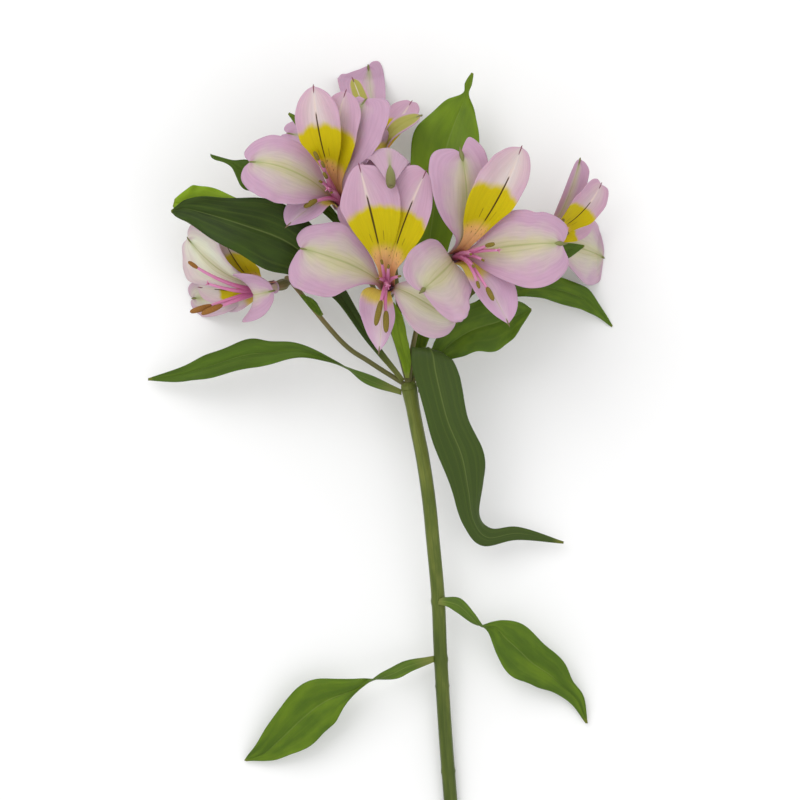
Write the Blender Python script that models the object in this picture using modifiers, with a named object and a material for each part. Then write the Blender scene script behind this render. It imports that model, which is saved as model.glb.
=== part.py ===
# A cut stem of alstroemeria with six open blooms, laid down on a flat surface.
# The stem lies along Y, its cut end at -Y and its head of blooms at +Y, and the blooms look up at +Z.
# Places below are in millimetres from the node that the rays of the head spring from,
# with z counted from the surface that the stem lies on.

import math
from functools import partial

import bmesh
import bpy
import numpy as np
from mathutils import Vector

MM = 0.001

# Driving dimensions
STEM_RADIUS = 2.9 * MM
NODE_RADIUS = 3.4 * MM
RAY_RADIUS = 1.05 * MM
OVARY_RADIUS = 2.4 * MM
OVARY_LENGTH = 7.0 * MM
TEPAL_THICKNESS = 0.7 * MM
SHORTEST_TEPAL = 38.0 * MM
LEAF_THICKNESS = 0.7 * MM
FILAMENT_RADIUS = 0.55 * MM
ANTHER_LENGTH = 7.0 * MM
ANTHER_RADIUS = 1.4 * MM
GAP = 0.3 * MM
REST_BAND = 0.2 * MM

# From the head's node to the middle of the whole stem's box, in millimetres
BOX_MIDDLE = (-12.0, -21.0)

# Stem: x, y, z of its middle line, from the cut end to the node
STEM_LINE = [
    (18.5, -179.5, 2.75),
    (16.0, -147.8, 5.3),
    (13.9, -114.2, 11.2),
    (12.8, -89.0, 15.6),
    (10.5, -63.8, 20.1),
    (8.8, -47.0, 23.1),
    (6.3, -30.2, 26.0),
    (3.4, -15.5, 29.6),
    (0.4, 0.5, 33.0),
]

# Blooms: base is the top of the ovary and facing is where the mouth looks. Each tepal has the x, y, z of its
# tip, its half width, the lean of its tip in degrees (0 points straight out from the mouth, above 0 leans
# forward and below 0 rolls back) and the turn of its blade about its midrib in degrees. Each stamen has the
# x, y, z of its anther. The ray lists points between.
BLOOMS = {
    "upper_left": {
        "base": (-28.1, 76.4, 38.0),
        "facing": (-0.20, 0.42, 0.88),
        "outer": [
            (-68.0, 94.5, 60.0, 13.5, -15, 0),
            (-11.5, 121.5, 64.0, 14.0, -10, 0),
            (-12.6, 65.5, 49.0, 8.5, -10, 0),
        ],
        "inner": [
            (-39.0, 126.5, 70.0, 8.5, 5, 0),
            (-24.4, 121.0, 67.0, 7.0, 10, 0),
        ],
        "lower": [(-51.2, 68.0, 56.0, 7.5, -5, 0)],
        "stamens": [
            (-38.2, 96.6, 67.0),
            (-35.5, 93.0, 69.0),
            (-34.5, 88.5, 66.0),
            (-40.8, 77.4, 60.0),
            (-33.0, 80.5, 65.0),
            (-43.0, 85.0, 64.0),
        ],
        "style": (-37.0, 84.0, 70.0),
        "ray": [(-6.7, 24.4, 34.0), (-19.3, 52.9, 31.0)],
    },
    "centre": {
        "base": (-8.4, 41.2, 44.0),
        "facing": (-0.05, 0.30, 0.95),
        "outer": [
            (-47.0, 55.5, 60.0, 14.5, -15, 0),
            (19.5, 27.2, 58.0, 12.5, -15, 0),
            (-6.5, 86.5, 87.0, 9.5, 165, 0),
        ],
        "inner": [
            (-20.5, 94.5, 78.0, 11.0, 10, 0),
            (4.8, 92.6, 78.0, 10.0, 10, 0),
        ],
        "lower": [(-12.8, 15.3, 57.0, 7.5, -20, 0)],
        "stamens": [
            (-12.6, 31.5, 67.0),
            (-9.2, 27.0, 67.0),
            (-11.0, 52.5, 69.0),
            (-6.0, 50.0, 70.0),
            (-14.5, 48.0, 68.0),
            (-2.5, 47.0, 67.0),
        ],
        "style": (-8.4, 40.5, 72.0),
        "ray": [(-4.2, 18.1, 35.5), (-7.1, 30.7, 35.0)],
    },
    "right": {
        "base": (18.5, 54.2, 47.0),
        "facing": (0.32, 0.15, 0.93),
        "outer": [
            (21.5, 101.0, 76.0, 15.0, -5, 0),
            (66.8, 57.5, 70.0, 15.5, -15, 0),
            (4.8, 40.0, 83.0, 16.5, 30, 0),
        ],
        "inner": [
            (47.5, 101.2, 80.0, 8.5, 5, 0),
            (28.0, 104.0, 70.0, 8.0, 0, 0),
        ],
        "lower": [(42.4, 26.5, 68.0, 9.5, -10, 0)],
        "stamens": [
            (29.0, 42.8, 75.0),
            (34.4, 38.2, 75.0),
            (34.9, 59.6, 80.0),
            (26.0, 50.0, 74.0),
            (32.0, 52.0, 77.0),
            (25.0, 57.0, 76.0),
        ],
        "style": (38.2, 60.1, 83.0),
        "ray": [(1.7, 16.0, 37.0), (7.1, 37.0, 37.0)],
    },
    "low_left": {
        "base": (-56.0, 43.3, 17.0),
        "facing": (-0.70, -0.22, 0.68),
        "outer": [
            (-93.5, 65.5, 31.0, 12.5, 10, 0),
            (-56.5, 41.0, 40.5, 10.5, -50, 0),
            (-92.0, 38.5, -6.0, 8.5, -10, 0),
        ],
        "inner": [
            (-80.0, 67.0, 34.0, 8.0, 15, 0),
            (-89.0, 43.0, 12.0, 6.5, 10, 0),
        ],
        "lower": [(-80.5, 35.0, 7.0, 5.5, 0, 0)],
        "stamens": [
            (-90.7, 52.0, 35.0),
            (-89.0, 33.0, 29.0),
            (-84.5, 31.5, 32.0),
        ],
        "style": (-91.0, 44.0, 34.0),
        "ray": [(-16.0, 10.9, 31.0), (-28.6, 20.2, 25.0)],
    },
    "low_right": {
        "base": (52.0, 62.2, 14.0),
        "facing": (0.65, 0.06, 0.76),
        "outer": [
            (75.0, 95.5, 26.0, 7.0, 10, 0),
            (84.0, 53.5, -7.0, 14.0, -35, 0),
            (29.0, 68.0, 36.0, 8.0, 10, 0),
        ],
        "inner": [
            (82.0, 88.0, 32.0, 7.5, 10, 0),
            (82.0, 71.0, 16.0, 6.5, 0, 0),
        ],
        "lower": [(58.0, 46.0, 34.0, 6.0, 10, 0)],
        "stamens": [
            (65.0, 70.0, 36.0),
            (66.5, 65.0, 37.0),
            (65.0, 60.0, 36.0),
        ],
        "style": (66.0, 67.0, 42.0),
        "ray": [(13.4, 20.2, 31.0), (28.0, 42.0, 22.0)],
    },
    "back": {
        "base": (-12.0, 91.5, 20.0),
        "facing": (-0.10, 0.75, 0.65),
        "outer": [
            (-51.0, 108.0, 22.0, 10.0, 10, 0),
            (6.7, 111.5, 34.0, 9.5, 10, 0),
            (-17.0, 138.0, -7.0, 9.5, 0, 0),
        ],
        "inner": [
            (-27.5, 131.5, 20.0, 7.5, 15, 0),
            (1.5, 122.0, 12.0, 7.0, 15, 0),
        ],
        "lower": [(-15.0, 108.0, 48.0, 6.0, 40, 0)],
        "stamens": [
            (-15.5, 110.0, 32.0),
            (-13.0, 113.0, 31.0),
            (-10.0, 110.0, 31.0),
        ],
        "style": (-13.0, 109.0, 34.0),
        "ray": [(-3.4, 28.6, 29.0), (-6.7, 62.2, 21.0)],
    },
}

# Leaves: each row is the x, y, z of the blade's middle and the vector from there to one edge
LEAVES = {
    "leaf_long_left": [
        (-3.4, -1.5, 32.9, 0.0, -1.2, 0.0),
        (-16.4, 3.4, 35.5, -0.8, -2.0, -0.5),
        (-28.6, 9.6, 38.0, 0.2, 0.3, -2.0),
        (-44.5, 15.5, 37.0, -0.2, 2.8, -0.6),
        (-58.0, 15.0, 33.0, 0.3, 5.0, -0.2),
        (-69.3, 13.9, 27.5, 0.8, 6.4, 0.0),
        (-84.8, 9.2, 19.0, 1.4, 5.4, 0.0),
        (-97.0, 5.8, 12.0, 0.6, 3.2, 0.0),
        (-110.9, 3.8, 4.5, 0.0, 0.5, 0.0),
    ],
    "leaf_long_right": [
        (4.7, 0.9, 34.9, 1.1, -0.3, 0.2),
        (4.8, 8.5, 40.0, 2.4, -0.5, 0.0),
        (7.6, 16.5, 45.5, 6.0, -1.0, 0.0),
        (10.2, 14.5, 49.0, 8.5, -2.0, 0.0),
        (11.8, 5.5, 48.5, 9.3, 0.0, 0.0),
        (16.4, -13.0, 45.5, 8.6, 1.5, 0.0),
        (22.5, -28.1, 38.0, 9.2, 1.5, -0.5),
        (25.4, -42.8, 29.0, 6.6, 2.0, -1.0),
        (27.6, -56.0, 22.0, 3.2, 2.8, -1.5),
        (33.8, -63.4, 17.0, 1.7, 3.8, -0.5),
        (47.0, -61.8, 12.0, 0.4, 2.8, 0.0),
        (66.4, -65.9, 5.0, 0.1, 0.5, 0.0),
    ],
    "leaf_left_upper": [
        (-2.8, 3.9, 35.1, 0.7, 0.7, 0.0),
        (-16.4, 21.0, 41.0, 1.3, 1.3, 0.0),
        (-29.0, 40.0, 44.5, 2.2, 2.6, 0.0),
        (-40.0, 53.0, 46.5, 4.5, 8.0, 0.0),
        (-52.0, 62.0, 48.0, 5.5, 12.5, 0.0),
        (-68.0, 68.0, 49.0, 4.5, 11.5, 0.0),
        (-84.0, 73.0, 48.0, 3.0, 7.0, 0.0),
        (-94.0, 75.3, 46.5, 2.0, 4.2, 0.0),
        (-99.5, 74.3, 45.0, 0.0, 0.5, 0.0),
    ],
    "leaf_left_under": [
        (-20.5, 56.0, 32.5, 0.3, 0.9, 0.0),
        (-32.0, 61.0, 38.0, 0.8, 2.5, 0.0),
        (-50.0, 66.5, 41.5, 1.5, 4.5, 0.0),
        (-72.0, 75.0, 44.0, 2.0, 4.5, 0.0),
        (-88.0, 79.5, 44.0, 1.2, 3.2, 0.0),
        (-98.5, 80.2, 43.0, 0.0, 0.5, 0.0),
    ],
    "leaf_left_tip": [
        (-22.6, 61.5, 32.2, 0.4, 0.9, 0.0),
        (-35.0, 76.0, 37.0, 1.2, 2.0, 0.0),
        (-50.0, 86.0, 42.0, 1.8, 4.0, 0.0),
        (-66.5, 89.5, 44.5, 1.8, 6.0, 0.0),
        (-74.0, 94.4, 45.0, 0.5, 1.4, 0.0),
        (-81.5, 97.0, 44.0, 0.0, 0.9, 0.0),
        (-83.0, 98.0, 43.5, 0.0, 0.5, 0.0),
    ],
    "leaf_top_tip": [
        (-22.6, 67.4, 31.8, 0.9, 0.3, 0.0),
        (-19.8, 79.0, 34.0, 2.2, 0.0, 0.0),
        (-27.0, 93.0, 35.5, 2.8, 2.2, 0.0),
        (-40.0, 107.0, 35.0, 2.4, 2.6, 0.0),
        (-50.4, 116.0, 33.5, 0.3, 0.4, 0.0),
    ],
    "leaf_top_right": [
        (1.5, 1.7, 29.2, 1.0, 0.0, 0.0),
        (4.5, 16.0, 27.0, 2.5, -0.5, 0.0),
        (7.5, 33.0, 26.0, 5.0, -0.8, 0.0),
        (9.0, 60.0, 26.0, 8.5, -1.0, 0.0),
        (12.5, 86.0, 25.0, 12.5, -3.0, 0.0),
        (16.0, 101.0, 24.5, 13.5, -5.5, 0.0),
        (20.0, 113.0, 24.0, 9.5, -4.5, 0.0),
        (24.3, 122.5, 24.0, 2.6, -1.2, 0.0),
        (25.6, 128.5, 24.5, 1.4, -0.4, 0.0),
        (27.3, 133.5, 25.0, 0.5, -0.2, 0.0),
    ],
    "leaf_under_right": [
        (4.5, -0.6, 33.4, 0.2, -1.0, 0.0),
        (9.5, 9.0, 35.5, 1.6, -1.2, 0.0),
        (16.0, 17.0, 37.0, 3.5, -4.5, 0.0),
        (26.0, 24.0, 38.0, 3.0, -9.0, 0.0),
        (38.0, 28.0, 38.0, 2.0, -11.0, 0.0),
        (46.5, 31.0, 37.0, 0.5, -6.0, 0.0),
        (52.0, 33.0, 36.0, 0.0, -0.5, 0.0),
    ],
    "leaf_far_right": [
        (20.5, 30.0, 29.4, 0.7, -0.8, 0.0),
        (33.0, 36.5, 28.0, 0.8, -2.2, 0.0),
        (46.0, 41.5, 24.0, 0.2, -2.8, 0.0),
        (58.0, 43.0, 18.0, -1.0, -5.0, 0.0),
        (73.0, 39.0, 8.0, -1.5, -4.8, 0.0),
        (81.0, 33.2, 3.0, -1.0, -2.2, 0.0),
        (87.4, 26.5, -0.5, -0.2, -0.4, 0.0),
    ],
    "leaf_right_tip": [
        (26.5, 40.0, 24.8, 0.7, -0.7, 0.0),
        (36.0, 48.5, 36.0, 1.3, -1.8, 0.0),
        (50.0, 55.0, 47.0, 0.8, -3.4, 0.0),
        (65.0, 57.2, 50.0, 0.2, -3.6, 0.0),
        (73.9, 59.6, 49.0, 0.0, -0.4, 0.0),
    ],
    "leaf_centre": [
        (-0.3, 4.6, 35.9, 0.8, 0.0, 0.0),
        (-1.0, 12.0, 38.5, 2.2, 0.3, 0.0),
        (-3.5, 22.0, 40.0, 3.0, 0.3, 0.0),
        (-5.0, 30.0, 41.5, 2.6, 0.5, 0.0),
        (-6.3, 36.0, 42.5, 0.4, 0.1, 0.0),
    ],
    "leaf_bract": [
        (-36.7, 30.9, 21.0, 0.7, 0.6, 0.0),
        (-40.8, 35.8, 25.0, 1.0, 1.6, 0.0),
        (-45.5, 39.6, 26.5, 0.3, 0.3, 0.0),
    ],
    "leaf_low_left": [
        (10.8, -115.3, 12.0, 0.2, -1.3, 0.0),
        (0.8, -118.0, 15.0, 1.2, -2.3, 0.0),
        (-6.7, -121.4, 16.5, 1.2, -2.3, -0.6),
        (-15.5, -124.3, 17.0, 0.2, 0.2, -2.2),
        (-23.5, -128.5, 16.5, 2.0, 5.0, -0.5),
        (-34.9, -133.1, 13.5, -3.6, 9.4, 0.0),
        (-44.5, -140.3, 10.5, -6.4, 9.2, 0.0),
        (-53.5, -149.0, 7.0, -5.0, 6.5, 0.0),
        (-61.0, -155.5, 4.5, -4.5, 3.0, 0.0),
        (-69.5, -159.2, 2.0, -0.5, 0.2, 0.0),
    ],
    "leaf_low_right": [
        (13.2, -90.6, 19.1, 0.2, 1.2, 0.0),
        (16.4, -90.7, 20.7, -0.4, 2.1, 0.0),
        (21.8, -92.4, 21.5, 0.5, 3.2, 0.0),
        (27.7, -97.9, 21.0, 0.5, 2.2, 1.0),
        (31.5, -101.2, 20.0, 0.2, -0.2, 2.2),
        (37.0, -101.6, 18.5, -2.5, -3.2, 0.8),
        (41.6, -106.3, 17.0, -4.4, -6.9, 0.0),
        (47.5, -111.7, 15.0, -5.9, -7.8, 0.0),
        (53.0, -117.0, 12.5, -6.5, -7.0, 0.0),
        (60.1, -121.8, 9.5, -6.5, -4.5, 0.0),
        (66.0, -127.0, 6.5, -4.6, -2.2, 0.0),
        (72.5, -133.5, 4.0, -2.6, -1.6, 0.0),
        (76.4, -143.2, 2.0, -0.5, 0.0, 0.0),
    ],
}


def units(vectors):
    return vectors / np.linalg.norm(vectors, axis=-1, keepdims=True)


def through(points, steps):
    """A smooth path through the points: Catmull-Rom, with the end points' neighbours mirrored."""
    points = np.asarray(points, float)
    padded = np.vstack([2 * points[0] - points[1], points, 2 * points[-1] - points[-2]])
    at = np.asarray(steps) * (len(points) - 1)
    part = np.minimum(at.astype(int), len(points) - 2)
    t = (at - part)[..., None]
    a, b, c, d = (padded[part + k] for k in range(4))
    return b + 0.5 * t * (c - a + t * (2 * a - 5 * b + 4 * c - d + t * (3 * (b - c) + d - a)))


def settled(points):
    """Points no lower than a blade's middle lies when the blade rests flat on the surface."""
    points[..., 2] = np.maximum(points[..., 2], TEPAL_THICKNESS / 2)
    return points


def tepal_points(u, v, bloom, row, kind):
    """A tepal: u runs from its claw to its tip and v from edge to edge. Its midrib is a Bezier that leaves the
    base along the facing and ends with the tip's lean, and its blade stands square to that curve's plane."""
    base = np.array(bloom["base"]) * MM
    facing = units(np.array(bloom["facing"]))
    tip = np.array(row[:3]) * MM
    half_width = row[3] * MM
    lean = math.radians(row[4])
    reach = tip - base
    outward = units(reach - reach.dot(facing) * facing)
    start = base + 1.0 * MM * facing + kind["ring"] * outward
    length = max(np.linalg.norm(tip - start), SHORTEST_TEPAL)
    roll = 0.38 + 0.45 * max(row[4] - 90, 0) / 75
    handles = [
        start,
        start + kind["claw"] * length * facing,
        tip - roll * length * (outward * math.cos(lean) + facing * math.sin(lean)),
        tip,
    ]
    across = np.abs(v)
    back = kind["round"] * across**2.4 + kind["notch"] * np.clip(1 - across / 0.4, 0, 1) ** 2
    s = (u * (1 - back * u**4))[..., None]
    p0, p1, p2, p3 = handles
    middle = (1 - s) ** 3 * p0 + 3 * s * (1 - s) ** 2 * p1 + 3 * s**2 * (1 - s) * p2 + s**3 * p3
    along = units((1 - s) ** 2 * (p1 - p0) + 2 * s * (1 - s) * (p2 - p1) + s**2 * (p3 - p2))
    side = units(np.cross(outward, facing))
    inner = np.cross(side, along)
    turn = math.radians(row[5]) * s
    side, inner = side * np.cos(turn) + inner * np.sin(turn), inner * np.cos(turn) - side * np.sin(turn)
    width = half_width * np.interp(u, kind["width_at"], kind["width"])
    raised = kind["cup"] * width * v**2 * (1.2 - u) + kind["ruffle"] * across**3 * u**2 * np.sin(
        2 * math.pi * (kind["waves"] * u + 0.25 * v) + 9 * row[0]
    )
    return settled(middle + side * (width * v)[..., None] + inner * raised[..., None])


OUTER = {
    "ring": 2.4 * MM,
    "claw": 0.42,
    "width_at": (0.0, 0.12, 0.25, 0.40, 0.55, 0.70, 0.85, 0.94, 1.0),
    "width": (0.16, 0.16, 0.28, 0.60, 0.88, 1.0, 1.0, 0.90, 0.68),
    "round": 0.10,
    "notch": 0.05,
    "cup": 0.30,
    "ruffle": 1.2 * MM,
    "waves": 2.0,
    "grid": (7, 4),
}
INNER = {
    "ring": 2.0 * MM,
    "claw": 0.40,
    "width_at": (0.0, 0.12, 0.25, 0.40, 0.55, 0.70, 0.85, 0.94, 1.0),
    "width": (0.24, 0.24, 0.36, 0.56, 0.78, 0.95, 1.0, 0.90, 0.60),
    "round": 0.06,
    "notch": -0.01,
    "cup": 0.40,
    "ruffle": 0.7 * MM,
    "waves": 1.5,
    "grid": (6, 4),
}
LOWER = {
    **INNER,
    "width": (0.24, 0.24, 0.44, 0.72, 0.94, 1.0, 0.86, 0.62, 0.24),
    "round": 0.06,
    "grid": (6, 3),
}


def leaf_points(u, v, rows):
    """A leaf: u runs from its root to its tip and v from edge to edge, with a shallow fold along the midrib."""
    rows = np.array(rows) * MM
    at = through(rows, u)
    ahead = through(rows, np.minimum(u + 0.01, 1.0))
    behind = through(rows, np.maximum(u - 0.01, 0.0))
    middle, half = at[..., :3], at[..., 3:]
    along = units(ahead[..., :3] - behind[..., :3])
    up = units(np.cross(half, along))
    width = np.linalg.norm(half, axis=-1)
    fold = 0.16 * width * np.abs(v) + 0.5 * MM * v**2 * np.sin(14 * u + 3 * v) * np.clip(width / (6 * MM), 0, 1)
    return settled(middle + half * v[..., None] + up * fold[..., None])


def mesh_object(name, mesh, material):
    mesh.materials.clear()
    mesh.materials.append(material)
    made = bpy.data.objects.new(name, mesh)
    bpy.context.scene.collection.objects.link(made)
    return made


def finished(source, name):
    """The object with its modifiers applied, its caps welded and its curve made a mesh, in the place it had."""
    graph = bpy.context.evaluated_depsgraph_get()
    mesh = bpy.data.meshes.new_from_object(source.evaluated_get(graph))
    shape = bmesh.new()
    shape.from_mesh(mesh)
    bmesh.ops.transform(shape, matrix=source.matrix_world, verts=shape.verts)
    bmesh.ops.remove_doubles(shape, verts=shape.verts, dist=1e-6)
    bmesh.ops.recalc_face_normals(shape, faces=shape.faces)
    shape.to_mesh(mesh)
    shape.free()
    material = source.data.materials[0]
    bpy.data.objects.remove(source)
    return mesh_object(name, mesh, material)


def blade(name, surface, columns, rows, thickness, material):
    """A thin blade: a grid bent over its surface of u and v, cut into triangles and given its thickness."""
    shape = bmesh.new()
    bmesh.ops.create_grid(shape, x_segments=columns, y_segments=rows, size=1.0)
    shape.verts.ensure_lookup_table()
    flat = np.array([vertex.co for vertex in shape.verts])
    for vertex, point in zip(shape.verts, surface((flat[:, 0] + 1) / 2, flat[:, 1])):
        vertex.co = point
    bmesh.ops.triangulate(shape, faces=shape.faces)
    mesh = bpy.data.meshes.new(name)
    shape.to_mesh(mesh)
    shape.free()
    made = mesh_object(name, mesh, material)
    solid = made.modifiers.new("Thickness", "SOLIDIFY")
    solid.thickness = thickness
    solid.offset = 0.0
    return finished(made, name)


def tube(name, points, radii, sides_level, material):
    """A tube through points in metres, with a radius at each, and round ends closed by caps."""
    curve = bpy.data.curves.new(name, "CURVE")
    curve.dimensions = "3D"
    curve.bevel_depth = 1.0
    curve.bevel_resolution = sides_level
    curve.use_fill_caps = True
    spline = curve.splines.new("POLY")
    spline.points.add(len(points) - 1)
    for point, place, radius in zip(spline.points, points, radii):
        point.co = (*place, 1.0)
        point.radius = radius
    curve.materials.append(material)
    made = bpy.data.objects.new(name, curve)
    bpy.context.scene.collection.objects.link(made)
    bpy.context.view_layer.update()
    return finished(made, name)


def plug(name, place, direction, radius, top_radius, height, material):
    """A short cone whose lower face is at place and whose axis is direction."""
    shape = bmesh.new()
    bmesh.ops.create_cone(
        shape, cap_ends=True, segments=8, radius1=radius, radius2=top_radius, depth=height
    )
    turn = Vector(direction).to_track_quat("Z", "Y").to_matrix().to_4x4()
    turn.translation = Vector(place) + Vector(direction).normalized() * height / 2
    bmesh.ops.transform(shape, matrix=turn, verts=shape.verts)
    mesh = bpy.data.meshes.new(name)
    shape.to_mesh(mesh)
    shape.free()
    return mesh_object(name, mesh, material)


def anther(name, place, direction, material):
    """An oblong anther across the end of its filament."""
    shape = bmesh.new()
    bmesh.ops.create_uvsphere(shape, u_segments=5, v_segments=4, radius=1.0)
    size = Vector((ANTHER_RADIUS, ANTHER_RADIUS, ANTHER_LENGTH / 2))
    bmesh.ops.scale(shape, vec=size, verts=shape.verts)
    turn = Vector(direction).to_track_quat("Z", "Y").to_matrix().to_4x4()
    turn.translation = Vector(place)
    bmesh.ops.transform(shape, matrix=turn, verts=shape.verts)
    mesh = bpy.data.meshes.new(name)
    shape.to_mesh(mesh)
    shape.free()
    return mesh_object(name, mesh, material)


def drop_scraps(mesh):
    """Keeps the widest of the mesh's shells: what the union left loose or sealed inside goes."""
    shape = bmesh.new()
    shape.from_mesh(mesh)
    unseen, shells = set(shape.verts), []
    while unseen:
        shell, edge = set(), {unseen.pop()}
        while edge:
            shell |= edge
            edge = {link.other_vert(vertex) for vertex in edge for link in vertex.link_edges} - shell
        unseen -= shell
        shells.append(shell)
    widest = max(shells, key=len)
    bmesh.ops.delete(shape, geom=[vertex for vertex in shape.verts if vertex not in widest])
    shape.to_mesh(mesh)
    shape.free()


def rested(made):
    """The object with what is lower than the rest band pressed flat on the surface that it lies on."""
    for vertex in made.data.vertices:
        if vertex.co.z < REST_BAND:
            vertex.co.z = 0.0
    return made


def fused(name, pieces, solver="EXACT"):
    """One body out of overlapping pieces."""
    others = bpy.data.collections.new(name + "_pieces")
    bpy.context.scene.collection.children.link(others)
    for piece in pieces[1:]:
        bpy.context.scene.collection.objects.unlink(piece)
        others.objects.link(piece)
    union = pieces[0].modifiers.new("Union", "BOOLEAN")
    union.operation = "UNION"
    union.operand_type = "COLLECTION"
    union.collection = others
    union.solver = solver
    bpy.context.view_layer.update()
    made = finished(pieces[0], name)
    for piece in list(others.objects):
        bpy.data.objects.remove(piece)
    bpy.data.collections.remove(others)
    drop_scraps(made.data)
    return rested(made)


def material(name, colour, roughness):
    made = bpy.data.materials.new(name)
    made.use_nodes = True
    surface = made.node_tree.nodes["Principled BSDF"]
    surface.inputs["Base Color"].default_value = (*colour, 1.0)
    surface.inputs["Roughness"].default_value = roughness
    surface.inputs["Metallic"].default_value = 0.0
    return made


def ray_path(bloom):
    """The middle line of a bloom's ray, from inside the node to the top of its ovary, with its radii."""
    base = np.array(bloom["base"])
    facing = units(np.array(bloom["facing"]))
    ovary = OVARY_LENGTH / MM
    bends = [STEM_LINE[-1], *bloom["ray"], base - (ovary + 2.0) * facing]
    line = through(bends, np.linspace(0, 1, 9))
    rise = [base - share * ovary * facing for share in (1.0, 0.55, 0.15, 0.0)]
    radii = [RAY_RADIUS] * (len(line) + 1) + [OVARY_RADIUS, OVARY_RADIUS, 0.85 * OVARY_RADIUS]
    return np.vstack([line, rise]) * MM, radii


def make_stem(green):
    line = through(STEM_LINE, np.linspace(0, 1, 18)) * MM
    radii = [STEM_RADIUS] * (len(line) - 2) + [NODE_RADIUS, NODE_RADIUS]
    pieces = [tube("stem_main", line, radii, 3, green)]
    for name, bloom in BLOOMS.items():
        points, widths = ray_path(bloom)
        pieces.append(tube("ray_" + name, points, widths, 1, green))
    return fused("stem", pieces)


def make_tepals(name, bloom, petal):
    facing = units(np.array(bloom["facing"]))
    base = np.array(bloom["base"]) * MM
    pieces = [plug("receptacle", base + GAP * facing, facing, 2.1 * MM, 2.9 * MM, 1.6 * MM, petal)]
    for kind, rows in ((OUTER, bloom["outer"]), (INNER, bloom["inner"]), (LOWER, bloom["lower"])):
        for row in rows:
            surface = partial(tepal_points, bloom=bloom, row=row, kind=kind)
            pieces.append(blade("tepal", surface, *kind["grid"], TEPAL_THICKNESS, petal))
    return fused("tepals_" + name, pieces, "MANIFOLD")


def make_stamens(name, bloom, pink):
    facing = units(np.array(bloom["facing"]))
    root = np.array(bloom["base"]) * MM + (1.6 * MM + 2 * GAP) * facing
    pieces = [plug("stamen_base", root, facing, 1.0 * MM, 1.0 * MM, 1.4 * MM, pink)]
    for number, place in enumerate([*bloom["stamens"], bloom["style"]]):
        end = np.array(place) * MM
        length = np.linalg.norm(end - root)
        start = root + 0.7 * MM * facing
        bend = start + 0.5 * length * facing
        t = np.linspace(0, 1, 4)[:, None]
        line = (1 - t) ** 2 * start + 2 * t * (1 - t) * bend + t**2 * end
        pieces.append(tube("filament", line, [FILAMENT_RADIUS] * 4, 0, pink))
        if number < len(bloom["stamens"]):
            lengthwise = end - bend
            pieces.append(anther("anther", end, lengthwise, pink))
    return fused("stamens_" + name, pieces)


def make_leaf(name, rows, green):
    broad = len(rows) > 6
    made = blade(
        name,
        lambda u, v: leaf_points(u, v, rows),
        min(2 * len(rows), 15),
        4 if broad else 2,
        LEAF_THICKNESS,
        green,
    )
    return rested(made)


def main():
    for old in list(bpy.data.objects):
        bpy.data.objects.remove(old)
    stem_green = material("stem_green", (0.107, 0.147, 0.025), 0.55)
    leaf_green = material("leaf_green", (0.069, 0.125, 0.019), 0.50)
    petal_pink = material("tepal_pink", (0.686, 0.456, 0.651), 0.60)
    stamen_pink = material("stamen_pink", (0.578, 0.117, 0.319), 0.50)

    made = [make_stem(stem_green)]
    for name, bloom in BLOOMS.items():
        made.append(make_tepals(name, bloom, petal_pink))
        made.append(make_stamens(name, bloom, stamen_pink))
    for name, rows in LEAVES.items():
        made.append(make_leaf(name, rows, leaf_green))

    middle = bpy.data.objects.new("box_middle", None)
    bpy.context.scene.collection.objects.link(middle)
    middle.location = (-BOX_MIDDLE[0] * MM, -BOX_MIDDLE[1] * MM, 0.0)
    stem = bpy.data.collections.new("alstroemeria_stem")
    bpy.context.scene.collection.children.link(stem)
    for piece in made:
        bpy.context.scene.collection.objects.unlink(piece)
        stem.objects.link(piece)
        piece.data.shade_smooth()
        piece.data.set_sharp_from_angle(angle=math.radians(40))
        piece.parent = middle


main()
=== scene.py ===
import math

import bpy
import numpy as np
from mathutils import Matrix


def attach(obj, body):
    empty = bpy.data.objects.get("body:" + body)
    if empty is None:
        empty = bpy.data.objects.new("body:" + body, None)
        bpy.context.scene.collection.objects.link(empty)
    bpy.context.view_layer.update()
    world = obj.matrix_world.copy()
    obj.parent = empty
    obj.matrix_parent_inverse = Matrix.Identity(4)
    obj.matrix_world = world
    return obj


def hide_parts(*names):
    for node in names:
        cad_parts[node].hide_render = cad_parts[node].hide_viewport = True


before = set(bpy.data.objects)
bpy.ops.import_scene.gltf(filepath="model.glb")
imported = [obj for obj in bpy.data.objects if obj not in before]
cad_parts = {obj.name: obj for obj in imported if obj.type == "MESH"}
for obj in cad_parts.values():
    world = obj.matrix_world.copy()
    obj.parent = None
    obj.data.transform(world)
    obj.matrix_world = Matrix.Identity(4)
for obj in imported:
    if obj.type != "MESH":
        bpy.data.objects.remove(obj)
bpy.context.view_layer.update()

mm = 0.001
boxMiddle = np.array([-12.0, -21.0, 0.0])
lowest = 0.35  # the middle of a blade's thickness is never nearer the surface
random = np.random.default_rng(7)


# Shared shapes

def units(vectors):
    return vectors / np.maximum(np.linalg.norm(vectors, axis=-1, keepdims=True), 1e-12)


# A smooth path through the points: Catmull-Rom, with the end points' neighbours mirrored.
def through(points, steps):
    points = np.asarray(points, float)
    padded = np.vstack([2 * points[0] - points[1], points, 2 * points[-1] - points[-2]])
    at = np.asarray(steps) * (len(points) - 1)
    part = np.clip(at.astype(int), 0, len(points) - 2)
    t = (at - part)[..., None]
    a, b, c, d = (padded[part + k] for k in range(4))
    return b + 0.5 * t * (c - a + t * (2 * a - 5 * b + 4 * c - d + t * (3 * (b - c) + d - a)))


# 1 at the centre, and down to nothing over the width as a bell does.
def bump(x, centre, width):
    return np.exp(-(((x - centre) / width) ** 2))


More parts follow.
